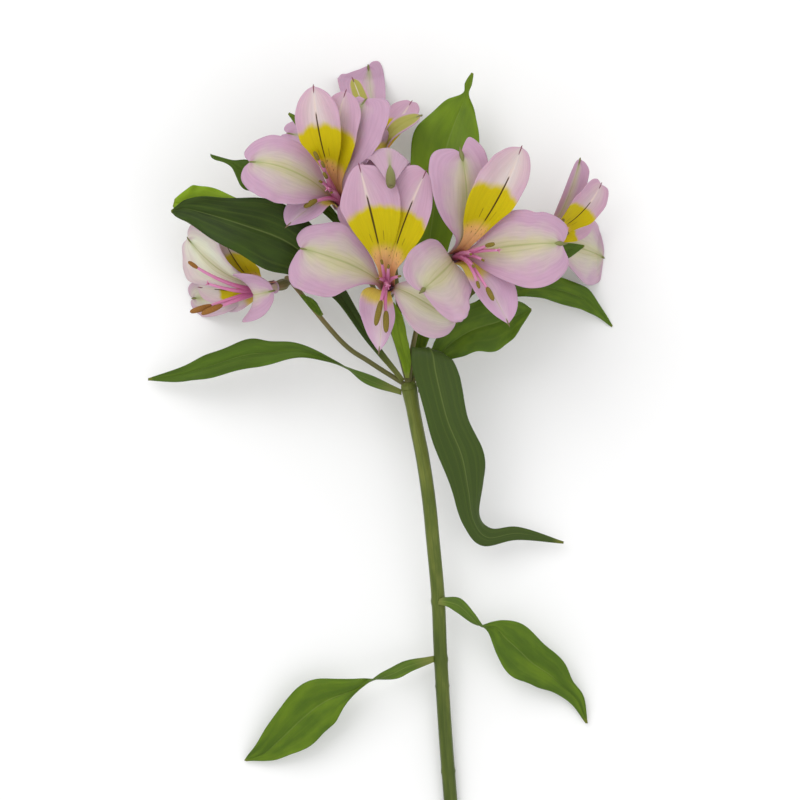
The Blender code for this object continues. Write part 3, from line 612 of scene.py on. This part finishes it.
blooms["back"] = dict(
    base=(-12, 91.5, 20), facing=(-0.1, 0.75, 0.65),
    outer=[dict(
        tip=(-51, 108, 22), half=10.0, lean=10, pale=0.2,
    ), dict(
        tip=(5.6, 115, 35), half=8.0, lean=10, pale=-1.0,
        left=[(25, 3), (45, 4.6), (65, 5.4), (82, 5), (94, 3.4)],
        right=[(25, 2.6), (45, 4.4), (65, 5.4), (82, 5.2), (94, 3.6)],
    ), dict(
        tip=(-17, 138, -7), half=9.5, lean=0, pale=0.25,
        left=[(25, 4), (45, 7.6), (63, 11.6), (77, 13.4), (87, 12.6), (94, 9), (97, 4), (99, 1.6)],
        right=[(25, 3.2), (45, 5), (65, 6.2), (82, 6.4), (95, 6), (103, 4.6), (104, 2)],
    )],
    inner=[dict(
        # painted shade: this narrow olive tepal stands for the shaded underside of a tepal
        tip=(-23.6, 131.5, 20), half=4.5, lean=15, pale=-1.0,
        left=[(30, 2.4), (50, 3), (70, 3.4), (85, 3.2), (95, 2.2)],
        right=[(30, 2.4), (50, 3), (70, 3.6), (85, 3.4), (95, 2.6)],
    ), dict(
        tip=(1.5, 122, 12), half=7.0, lean=15, pale=0.0,
    )],
    lower=[dict(
        tip=(-15, 108, 48), half=6.0, lean=40, pale=0.0,
    )],
    stamens=[(-15.5, 110, 32, 4), (-13, 113, 31, 4), (-10, 110, 31, 4)],
    style=(-13, 109, 34), ray=[(-3.4, 28.6, 29), (-6.7, 62.2, 21)],
)

for bloom in blooms.values():
    bloom["base"] = np.array(bloom["base"])
    bloom["facing"] = units(np.array(bloom["facing"]))

# The kinds of tepal. The edge is for a tepal without its own: its widths are shares of the half width, and
# its first two pairs are every tepal's claw. Red is the colour of the point, from green at 0.
outerKind = {
    "ring": 2.4, "claw": 0.42, "cup": 0.30, "ruffle": 1.0, "waves": 2.0, "point": (0.52, 0.7), "red": 0.0,
    "edge": [(0, 0.16), (12, 0.17), (25, 0.30), (38, 0.58), (52, 0.86), (68, 1.0), (84, 1.0), (96, 0.84),
             (104, 0.54), (105, 0.20)],
}
innerKind = {
    "ring": 2.0, "claw": 0.40, "cup": 0.40, "ruffle": 0.7, "waves": 1.5, "point": (0.32, 0.9), "red": 1.0,
    "edge": [(0, 0.24), (12, 0.25), (25, 0.36), (40, 0.58), (55, 0.80), (70, 0.97), (84, 0.98), (94, 0.78),
             (100, 0.38)],
}
lowerKind = {
    **innerKind, "point": (0.38, 1.4), "red": 0.4,
    "edge": [(0, 0.24), (12, 0.26), (25, 0.46), (40, 0.74), (55, 0.95), (70, 1.0), (84, 0.82), (94, 0.48)],
}
kinds = {"outer": outerKind, "inner": innerKind, "lower": lowerKind}
petal = {
    "columns": 72, "rows": 33, "thickness": 0.35, "stop": 0.992,
    "shortest": 38.0,  # a tepal whose tip is near its claw still bows as one of this length does
    "roll": 0.38,  # shares of the length from the tip to where the midrib bends
    "widest": 1.6, "level": 1.25,  # in half widths and lengths, where the cup stops growing and would be flat
    "ripple": 0.30, "ripples": 3.3,  # low waves at the edge: their height, and how many to a long wave
    "groove": 0.30, "grooveWidth": 0.5,
    "cupHeights": (0.2, 0.6, 1.2, 1.9), "cupRadii": (1.9, 2.5, 2.9, 2.6),
}


# A tepal: its midrib is a Bezier from the claw, along the facing, to the tip, and its blade stands square to
# that curve's plane. It is raised by a cup that grows with the square of the distance from the midrib, and by
# long and low waves towards its edges, and has a groove along its midrib.
def tepalPlace(bloom, tepal, kind):
    base, facing, tip = bloom["base"], bloom["facing"], np.array(tepal["tip"])
    half = tepal["half"]
    lean = math.radians(tepal["lean"])
    reach = tip - base
    outward = units(reach - reach.dot(facing) * facing)
    side = units(np.cross(outward, facing))
    start = base + facing + kind["ring"] * outward
    length = max(np.linalg.norm(tip - start), petal["shortest"])
    roll = tepal.get("roll", petal["roll"])
    cup = kind["cup"] * tepal.get("cup", 1.0)
    bend = start + kind["claw"] * length * facing
    turn = tip - roll * length * (outward * math.cos(lean) + facing * math.sin(lean))
    turn = turn + side * tepal.get("aside", 0.0)

    def place(share, width):
        s = share[..., None]
        middle = (1 - s) ** 3 * start + 3 * s * (1 - s) ** 2 * bend + 3 * s**2 * (1 - s) * turn + s**3 * tip
        along = units((1 - s) ** 2 * (bend - start) + 2 * s * (1 - s) * (turn - bend) + s**2 * (tip - turn))
        away = np.minimum(np.abs(width) / half, petal["widest"])
        swing = np.sign(width) * away
        longWave = 2 * math.pi * (kind["waves"] * share + 0.25 * swing) + 0.009 * tip[0]
        lowWave = 2 * math.pi * (petal["ripples"] * kind["waves"] * share + 0.6 * swing) + tip[1]
        groove = bump(width, 0, petal["grooveWidth"]) * np.sin(math.pi * np.clip(share, 0, 1))
        raised = cup * half * away**2 * (petal["level"] - share)
        raised = raised + kind["ruffle"] * away**3 * share**2 * np.sin(longWave)
        raised = raised + petal["ripple"] * away**4 * share**2 * np.sin(lowWave)
        raised = raised - petal["groove"] * groove
        points = middle + side * width[..., None] + np.cross(side, along) * raised[..., None]
        points[..., 2] = np.maximum(points[..., 2], lowest)
        return points

    return place


# The grid of a tepal: each row joins a point of the midrib to a point of each edge, both as far along.
def tepalSurface(place, tepal, kind):
    usual = [(share, width * tepal["half"]) for share, width in kind["edge"]]
    edges = []
    for key in ("left", "right"):
        points = usual[:2] + tepal[key] if key in tepal else usual
        fine = through(np.array([*points, (100, 0)]) / [100, 1], np.linspace(0, 1, 400))
        run = np.cumsum(np.hypot(np.gradient(fine[:, 0]) * petal["shortest"], np.gradient(fine[:, 1])))
        edges.append((fine, (run - run[0]) / (run[-1] - run[0])))

    def surface(u, v):
        share, width = ([np.interp(u, run, fine[:, k]) for fine, run in edges] for k in (0, 1))
        away = np.abs(v)
        edgeShare = np.where(v < 0, share[0], share[1])
        edgeWidth = np.where(v < 0, -width[0], width[1])
        along = u + (edgeShare - u) * away
        return place(along, edgeWidth * away), along

    return surface


# The thick point at the end of the midrib: a short rod that rises a little past the tip.
def tepalPoint(place, size, length, tint, red):
    line = place(np.array([0.93, 0.965, 1.0]), np.zeros(3))
    end = line[2] + length * units(line[2] - line[0]) + [0, 0, 0.15 * length]
    path = through([*line, end], np.linspace(0, 1, 11))
    radii = size * np.array([0.1, 0.40, 0.66, 0.84, 0.96, 1.0, 0.94, 0.78, 0.56, 0.34, 0.12])
    path[:, 2] = np.maximum(path[:, 2], radii)
    return rod(path, radii, 12, 3, tint=tint, pale=red)


# The tepals with their points, and the small cup that they stand on.
def makeBloom(name, bloom, materials):
    parts = []
    for slot, (key, kind) in enumerate(kinds.items()):
        for tepal in bloom[key]:
            place = tepalPlace(bloom, tepal, kind)
            tint = float(random.random())
            parts.append(blade(
                tepalSurface(place, tepal, kind), petal["columns"], petal["rows"],
                petal["thickness"], slot, stop=petal["stop"], tint=tint, pale=tepal["pale"]))
            parts.append(tepalPoint(place, *tepal.get("point", kind["point"]), tint, kind["red"]))
    cup = bloom["base"] + np.outer(petal["cupHeights"], bloom["facing"])
    parts.append(rod(cup, petal["cupRadii"], 24, pale=0.5))
    piece("petals_" + name, parts, materials, "tepals_" + name)


# Stamens and style
stamen = {
    "root": 2.2, "start": 0.7,  # heights above the ovary, and above that root
    "rootHeights": (0.0, 0.7, 1.4), "rootRadii": (1.0, 1.0, 0.8),
    "bend": 0.5,  # how far along the facing a filament goes before it bends, in its own lengths
    "sway": 0.5,
    "rootRadius": 1.35, "tipRadius": 0.55,
    "thickest": 1.55, "thin": 0.30, "thicker": 0.16,  # an anther's radius, and how it grows with the length
    "arch": 0.07,
    "groove": 0.22, "grooveWidth": 0.35,
    "lobes": 3, "lobeRoot": 0.34, "lobeTip": 0.14,
}


# An anther: a pod across the filament's end, arched, rounded nearly as an ellipse is, and grooved in two.
def makeAnther(end, direction, length):
    steps = np.linspace(-1, 1, 15)
    bulge = 1 - steps**2
    thick = min(stamen["thickest"], stamen["thin"] + stamen["thicker"] * length)
    curve = end + np.outer(steps * length / 2, direction)
    curve = curve + np.outer(stamen["arch"] * length * bulge, [0, 0, 1.0])
    return rod(curve, thick * np.sqrt(np.clip(bulge, 0.001, 1)) ** 0.8, 18, 1,
               profile=lambda a: 1 - stamen["groove"] * bump(np.cos(a), 0, stamen["grooveWidth"]))


# The style's end: lobes that curl outwards, evenly round it.
def makeLobes(end, direction):
    side = units(np.cross(direction, [0.3, 0.2, 1.0]))
    other = np.cross(direction, side)
    radii = np.linspace(stamen["lobeRoot"], stamen["lobeTip"], 7)
    lobes = []
    for k in range(stamen["lobes"]):
        swing = 2 * math.pi * k / stamen["lobes"]
        outward = math.cos(swing) * side + math.sin(swing) * other
        curl = [end, end + 0.8 * direction + 0.5 * outward, end + 1.2 * direction + 1.3 * outward]
        lobes.append(rod(through(curl, np.linspace(0, 1, 7)), radii, 8, tint=0.9))
    return lobes


# Each filament, and the style, is a quadratic Bezier from the mouth's middle, first along the facing, and
# sways a little to its own side.
def makeStamens(name, bloom, materials):
    facing = bloom["facing"]
    root = bloom["base"] + stamen["root"] * facing
    start = root + stamen["start"] * facing
    t = np.linspace(0, 1, 28)[:, None]
    radii = np.linspace(stamen["rootRadius"], stamen["tipRadius"], len(t))
    parts = [rod(root + np.outer(stamen["rootHeights"], facing), stamen["rootRadii"], 16)]
    for number, (x, y, z, *anther) in enumerate([*bloom["stamens"], bloom["style"]]):
        end = np.array([x, y, z])
        bend = start + stamen["bend"] * np.linalg.norm(end - root) * facing
        sway = stamen["sway"] * np.array([math.sin(5 * number), math.cos(5 * number), 0.0])
        line = (1 - t) ** 2 * start + 2 * t * (1 - t) * bend + t**2 * end + np.sin(math.pi * t) * sway
        parts.append(rod(line, radii, 12, tint=float(random.random())))
        direction = units((end - bend) * [1.0, 1.0, 0.5])
        parts += [makeAnther(end, direction, *anther)] if anther else makeLobes(end, direction)
    piece("stamens_of_" + name, parts, materials, "stamens_" + name)


# Stem
# Its line goes from the cut end to the node of the rays, where shares of the node's radius close it. A ring
# is the y of a leaf's root or scar, how far it stands out and how long it is. The ovary's shape is pairs of a
# place, in its lengths from the base of the bloom, and a share of its radius.
stemLine = [
    (18.5, -179.5, 2.75), (16, -147.8, 5.3), (13.9, -114.2, 11.2), (12.8, -89, 15.6), (10.5, -63.8, 20.1),
    (8.8, -47, 23.1), (6.3, -30.2, 26), (3.4, -15.5, 29.6), (0.4, 0.5, 33),
]
stem = {
    "radius": 2.9, "node": 3.4, "nodeLength": 8,
    "rest": 0.96,  # the least height of the line, in radii
    "rings": [(-90.5, 0.35, 1.4), (-115.5, 0.30, 1.3), (-127.0, 0.22, 0.9), (-163.5, 0.28, 1.0)],
    "closing": ((0, 0, 0), (-0.3, 1.2, 0.9), (-0.5, 1.9, 1.4)),
    "closingShape": (0.99, 0.95, 0.87, 0.74, 0.55, 0.30),
    "ray": 1.05,
    "ovary": 2.4, "ovaryLength": 7.0, "neck": 2.0,
    "ovaryShape": [(-1.12, 0.40), (-1.05, 0.45), (-0.97, 0.56), (-0.88, 0.76), (-0.75, 0.95), (-0.60, 1.02),
                   (-0.45, 1.02), (-0.30, 0.98), (-0.16, 0.92), (-0.07, 0.86), (-0.01, 0.80)],
}


# The stem swells towards its node and at its rings, and has low ribs. Each ray is a rod to the foot of its
# ovary, which has six ribs.
def makeStem(materials):
    line = through(stemLine, np.linspace(0, 1, 240))
    radius, node = stem["radius"], stem["node"]
    near = stem["nodeLength"]
    radii = radius + (node - radius) * np.clip((line[:, 1] + near) / near, 0, 1)
    for place, height, length in stem["rings"]:
        radii += height * bump(line[:, 1], place, length)
    line[:, 2] = np.maximum(line[:, 2], stem["rest"] * radii)
    closing = through(line[-1] + np.array(stem["closing"]), np.linspace(0, 1, 7))[1:]
    radii = np.concatenate([radii, node * np.array(stem["closingShape"])])
    parts = [rod(np.vstack([line, closing]), radii, 48,
                 profile=lambda a: 1 + 0.018 * np.cos(7 * a) + 0.01 * np.cos(13 * a))]
    ovary = stem["ovaryLength"]
    places, swell = np.array(stem["ovaryShape"]).T
    for bloom in blooms.values():
        base, facing = bloom["base"], bloom["facing"]
        neck = base - (ovary + stem["neck"]) * facing
        path = through([stemLine[-1], *bloom["ray"], neck, base - ovary * facing], np.linspace(0, 1, 70))
        tint = float(random.random())
        parts.append(rod(path, np.full(len(path), stem["ray"]), 16, 1, tint=tint))
        parts.append(rod(base + np.outer(places * ovary, facing), stem["ovary"] * swell, 48, 2,
                         profile=lambda a: 1 - 0.10 * np.abs(np.cos(3 * a)) ** 3, tint=tint))
    piece("stem_and_rays", parts, materials, "stem")


# Leaves
# Each leaf's first number is its tone, from 0 for dark to 1 for bright. Its rows are the x, y, z of the
# blade's middle and the vector from there to one edge.
leaves = {
    "leaf_long_left": (0.42, [
        (-3.4, -1.5, 32.9, 0, -1.2, 0), (-16.4, 3.4, 35.5, -0.8, -2, -0.5), (-28.6, 9.6, 38, 0.2, 0.3, -2),
        (-44.5, 15.5, 37, -0.2, 2.8, -0.6), (-58, 15, 33, 0.3, 5, -0.2), (-69.3, 13.9, 27.5, 0.8, 6.4, 0),
        (-84.8, 9.2, 19, 1.4, 5.4, 0), (-97, 5.8, 12, 0.6, 3.2, 0), (-110.9, 3.8, 4.5, 0, 0.5, 0),
    ]),
    "leaf_long_right": (-0.05, [
        (4.7, 0.9, 34.9, 1.1, -0.3, 0.2), (4.8, 8.5, 40, 2.4, -0.5, 0), (7.6, 16.5, 45.5, 6, -1, 0),
        (10.2, 14.5, 49, 8.5, -2, 0), (11.8, 5.5, 48.5, 9.3, 0, 0), (16.4, -13, 45.5, 8.6, 1.5, 0),
        (22.5, -28.1, 38, 9.2, 1.5, -0.5), (25.4, -42.8, 29, 6.6, 2, -1), (27.6, -56, 22, 3.2, 2.8, -1.5),
        (33.8, -63.4, 17, 1.7, 3.8, -0.5), (47, -61.8, 12, 0.4, 2.8, 0), (66.4, -65.9, 5, 0.1, 0.5, 0),
    ]),
    "leaf_left_upper": (0.06, [
        (-2.8, 3.9, 35.1, 0.7, 0.7, 0), (-16.4, 21, 41, 1.3, 1.3, 0), (-29, 40, 44.5, 2.2, 2.6, 0),
        (-40, 53, 46.5, 4.5, 8, 0), (-52, 62, 48, 5.5, 12.5, 0), (-68, 68, 49, 4.5, 11.5, 0),
        (-84, 73, 48, 3, 7, 0), (-94, 75.3, 46.5, 2, 4.2, 0), (-99.5, 74.3, 45, 0, 0.5, 0),
    ]),
    "leaf_left_under": (0.9, [
        (-20.5, 56, 32.5, 0.3, 0.9, 0), (-32, 61, 38, 0.8, 2.5, 0), (-50, 66.5, 41.5, 1.5, 4.5, 0),
        (-72, 75, 44, 2, 4.2, 0), (-88, 78, 43.8, 2.4, 7, 0), (-94, 77.6, 43.4, 1.8, 6.4, 0),
        (-98.5, 78, 43, 0.4, 1.6, 0),
    ]),
    "leaf_left_tip": (0.35, [
        (-22.6, 61.5, 32.2, 0.4, 0.9, 0), (-35, 76, 37, 1.2, 2, 0), (-50, 86, 42, 1.8, 4, 0),
        (-66.5, 89.5, 44.5, 1.8, 6, 0), (-74, 94.4, 45, 0.5, 1.4, 0), (-81.5, 97, 44, 0, 0.9, 0),
        (-83, 98, 43.5, 0, 0.5, 0),
    ]),
    "leaf_top_tip": (0.55, [
        (-22.6, 67.4, 31.8, 0.9, 0.3, 0), (-19.8, 79, 34, 2.2, 0, 0), (-27, 93, 35.5, 2.8, 2.2, 0),
        (-40, 107, 35, 2.4, 2.6, 0), (-50.4, 116, 33.5, 0.3, 0.4, 0),
    ]),
    "leaf_top_right": (0.66, [
        (1.5, 1.7, 29.2, 1, 0, 0), (4.5, 16, 27, 2.5, -0.5, 0), (7.5, 33, 26, 5, -0.8, 0),
        (9, 60, 26, 8.5, -1, 0), (12.5, 86, 25, 12.5, -3, 0), (16, 101, 24.5, 13.5, -5.5, 0),
        (19.6, 112, 24, 10, -4.8, 0), (22.6, 119, 24, 6.2, -3, 0), (24.6, 124.6, 24.2, 1.3, -0.5, 0.3),
        (25.6, 129, 24.6, 1.5, -0.3, 0), (27.3, 133.5, 25, 0.5, -0.2, 0),
    ]),
    "leaf_under_right": (0.52, [
        (4.5, -0.6, 33.4, 0.2, -1, 0), (9.5, 9, 35.5, 1.6, -1.2, 0), (16, 17, 37, 3.5, -4.5, 0),
        (26, 24, 38, 3, -9, 0), (38, 28, 38, 2, -11, 0), (46.5, 31, 37, 0.5, -6, 0), (52, 33, 36, 0, -0.5, 0),
    ]),
    "leaf_far_right": (0.52, [
        (20.5, 30, 29.4, 0.7, -0.8, 0), (33, 36.5, 28, 0.8, -2.2, 0), (46, 41.5, 24, 0.2, -2.8, 0),
        (58, 43, 18, -1, -5, 0), (73, 39, 8, -1.5, -4.8, 0), (81, 33.2, 3, -1, -2.2, 0),
        (87.4, 26.5, -0.5, -0.2, -0.4, 0),
    ]),
    "leaf_right_tip": (0.38, [
        (26.5, 40, 24.8, 0.7, -0.7, 0), (36, 48.5, 36, 1.3, -1.8, 0), (50, 55, 47, 0.8, -3.4, 0),
        (65, 57.2, 50, 0.2, -3.6, 0), (73.9, 59.6, 49, 0, -0.4, 0),
    ]),
    "leaf_centre": (0.8, [
        (-0.3, 4.6, 35.9, 0.8, 0, 0), (-1, 12, 38.5, 2.2, 0.3, 0), (-3.5, 22, 40, 3, 0.3, 0),
        (-5, 30, 41.5, 2.6, 0.5, 0), (-6.3, 36, 42.5, 0.4, 0.1, 0),
    ]),
    "leaf_bract": (0.55, [
        (-36.7, 30.9, 21, 0.7, 0.6, 0), (-40.8, 35.8, 25, 1, 1.6, 0), (-45.5, 39.6, 26.5, 0.3, 0.3, 0),
    ]),
    "leaf_low_left": (0.55, [
        (10.8, -115.3, 12, 0.2, -1.3, 0), (0.8, -118, 15, 1.2, -2.3, 0),
        (-6.7, -121.4, 16.5, 1.2, -2.3, -0.6), (-15.5, -124.3, 17, 0.2, 0.2, -2.2),
        (-23.5, -128.5, 16.5, 2, 5, -0.5), (-34.9, -133.1, 13.5, -3.6, 9.4, 0),
        (-44.5, -140.3, 10.5, -6.4, 9.2, 0), (-53.5, -149, 7, -5, 6.5, 0), (-61, -155.5, 4.5, -4.5, 3, 0),
        (-69.5, -159.2, 2, -0.5, 0.2, 0),
    ]),
    "leaf_low_right": (0.52, [
        (13.2, -90.6, 19.1, 0.2, 1.2, 0), (16.4, -90.7, 20.7, -0.4, 2.1, 0), (21.8, -92.4, 21.5, 0.5, 3.2, 0),
        (27.7, -97.9, 21, 0.5, 2.2, 1), (31.5, -101.2, 20, 0.2, -0.2, 2.2),
        (37, -101.6, 18.5, -2.5, -3.2, 0.8), (41.6, -106.3, 17, -4.4, -6.9, 0),
        (47.5, -111.7, 15, -5.9, -7.8, 0), (53, -117, 12.5, -6.5, -7, 0), (60.1, -121.8, 9.5, -6.5, -4.5, 0),
        (66, -127, 6.5, -4.6, -2.2, 0), (72.5, -133.5, 4, -2.6, -1.6, 0), (76.4, -143.2, 2, -0.5, 0, 0),
    ]),
}
leaf = {
    "columns": 110, "rows": 37, "thickness": 0.40, "start": -0.006,
    "broad": 6.0,  # waves are full on a blade of this half width
    "fold": 0.16,
    "wave": 0.5, "waves": 14,
    "ripple": 0.35, "ripples": 46,
    "groove": 0.28, "grooveWidth": 0.05,
    "margin": 0.05, "margins": 31,
}


# A leaf: the blade folds along its midrib, where it has a groove, its edges rise and fall in long and short
# waves, and its margins go in and out a little. Waves are in radians over the leaf's length.
def leafSurface(rows):
    rows = np.array(rows)

    def surface(u, v):
        at = through(rows, u)
        ahead, behind = through(rows, np.minimum(u + 0.01, 1.0)), through(rows, np.maximum(u - 0.01, 0.0))
        middle, half = at[..., :3], at[..., 3:]
        up = units(np.cross(half, units(ahead[..., :3] - behind[..., :3])))
        width = np.linalg.norm(half, axis=-1)
        broad = np.clip(width / leaf["broad"], 0, 1)
        away = np.abs(v)
        raised = leaf["fold"] * width * away
        raised = raised + leaf["wave"] * v**2 * np.sin(leaf["waves"] * u + 3 * v) * broad
        raised = raised + leaf["ripple"] * away**4 * np.sin(leaf["ripples"] * u + 4 * v) * broad
        raised = raised - leaf["groove"] * bump(v, 0, leaf["grooveWidth"]) * broad
        margin = leaf["margin"] * np.sin(leaf["margins"] * u + 2 * np.sign(v)) * broad
        points = middle + half * (1 + margin)[..., None] * v[..., None] + up * raised[..., None]
        points[..., 2] = np.maximum(points[..., 2], lowest)
        return points, u

    return surface


def makeLeaf(node, tone, rows, material):
    part = blade(leafSurface(rows), leaf["columns"], leaf["rows"], leaf["thickness"],
                 start=leaf["start"], tint=float(random.random()), pale=tone)
    piece(node.replace("leaf_", "blade_"), [part], [material], node)


# Floor, light and camera, in metres and watts
# A softbox is its place, its width and its power.
studio = {
    "floor": 3.0, "drop": 0.0003, "paper": "#f7f7f7", "room": 0.84,
    "softboxes": [((-0.5, 0.7, 1.3), 1.0, 7.5), ((0.7, -0.4, 1.5), 1.2, 3.0)],
}


# A white sheet under the stem, and two soft lights with a bright room round it.
def makeStudio():
    size = studio["floor"]
    mesh = bpy.data.meshes.new("floor")
    corners = [(-size, -size, 0), (size, -size, 0), (size, size, 0), (-size, size, 0)]
    mesh.from_pydata(corners, [], [(0, 1, 2, 3)])
    floor = bpy.data.objects.new("floor", mesh)
    floor.location = (0, 0, -studio["drop"])
    bpy.context.scene.collection.objects.link(floor)
    paper = bpy.data.materials.new("white paper, matt")
    paper.use_nodes = True
    shader = paper.node_tree.nodes["Principled BSDF"]
    shader.inputs["Base Color"].default_value = colour(studio["paper"])
    shader.inputs["Roughness"].default_value = 0.9
    mesh.materials.append(paper)
    world = bpy.data.worlds.new("bright room")
    world.use_nodes = True
    background = world.node_tree.nodes["Background"]
    background.inputs["Color"].default_value = (1.0, 1.0, 1.0, 1.0)
    background.inputs["Strength"].default_value = studio["room"]
    bpy.context.scene.world = world
    for place, width, power in studio["softboxes"]:
        data = bpy.data.lights.new("softbox", "AREA")
        data.shape = "SQUARE"
        data.size = width
        data.energy = power
        lamp = bpy.data.objects.new("softbox", data)
        lamp.location = place
        x, y, z = place
        lamp.rotation_euler = (math.atan2(math.hypot(x, y), z), 0, math.atan2(-y, -x) - math.pi / 2)
        bpy.context.scene.collection.objects.link(lamp)
    bpy.context.scene.view_settings.view_transform = "Standard"


# The camera looks straight down from 2.4 m above the head, where its frame is 336 mm wide.
view = {"place": (0.0086, 0.0160, 2.445), "sensor": 36.0, "distance": 2400.0, "frame": 336.0, "far": 20.0}


def makeCamera():
    data = bpy.data.cameras.new("camera")
    data.sensor_width = view["sensor"]
    data.lens = view["sensor"] * view["distance"] / view["frame"]
    data.clip_end = view["far"]
    camera = bpy.data.objects.new("camera", data)
    camera.location = view["place"]
    bpy.context.scene.collection.objects.link(camera)
    bpy.context.scene.camera = camera


petals = [petalMaterial(outerLook), petalMaterial(innerLook), petalMaterial(lowerLook), tipMaterial()]
filament = filamentMaterial()
olive = antherMaterial("anther, olive pollen", "#968228", "#4a3f0c")
brown = antherMaterial("anther, brown pollen", "#a8762e", "#6a3a10")
for name, bloom in blooms.items():
    makeBloom(name, bloom, petals)
    makeStamens(name, bloom, [filament, brown if "brown" in bloom else olive])
print("blooms made")
makeStem([
    skinMaterial("stem skin, waxy green", ("#445319", "#6c742f", "#53611f"), 220.0, stem["radius"]),
    skinMaterial("ray skin, waxy brown green", ("#5a5a2c", "#8f7a52", "#6f6a3a"), 50.0, stem["ray"]),
    skinMaterial("ovary skin, ribbed brown green", ("#5f5a30", "#8a7050", "#6c6438"), 8.0, stem["ovary"]),
])
print("stem made")
green = leafMaterial()
for node, (tone, rows) in leaves.items():
    makeLeaf(node, tone, rows, green)
print("leaves made")
makeStudio()
makeCamera()
print("floor, light and camera made")
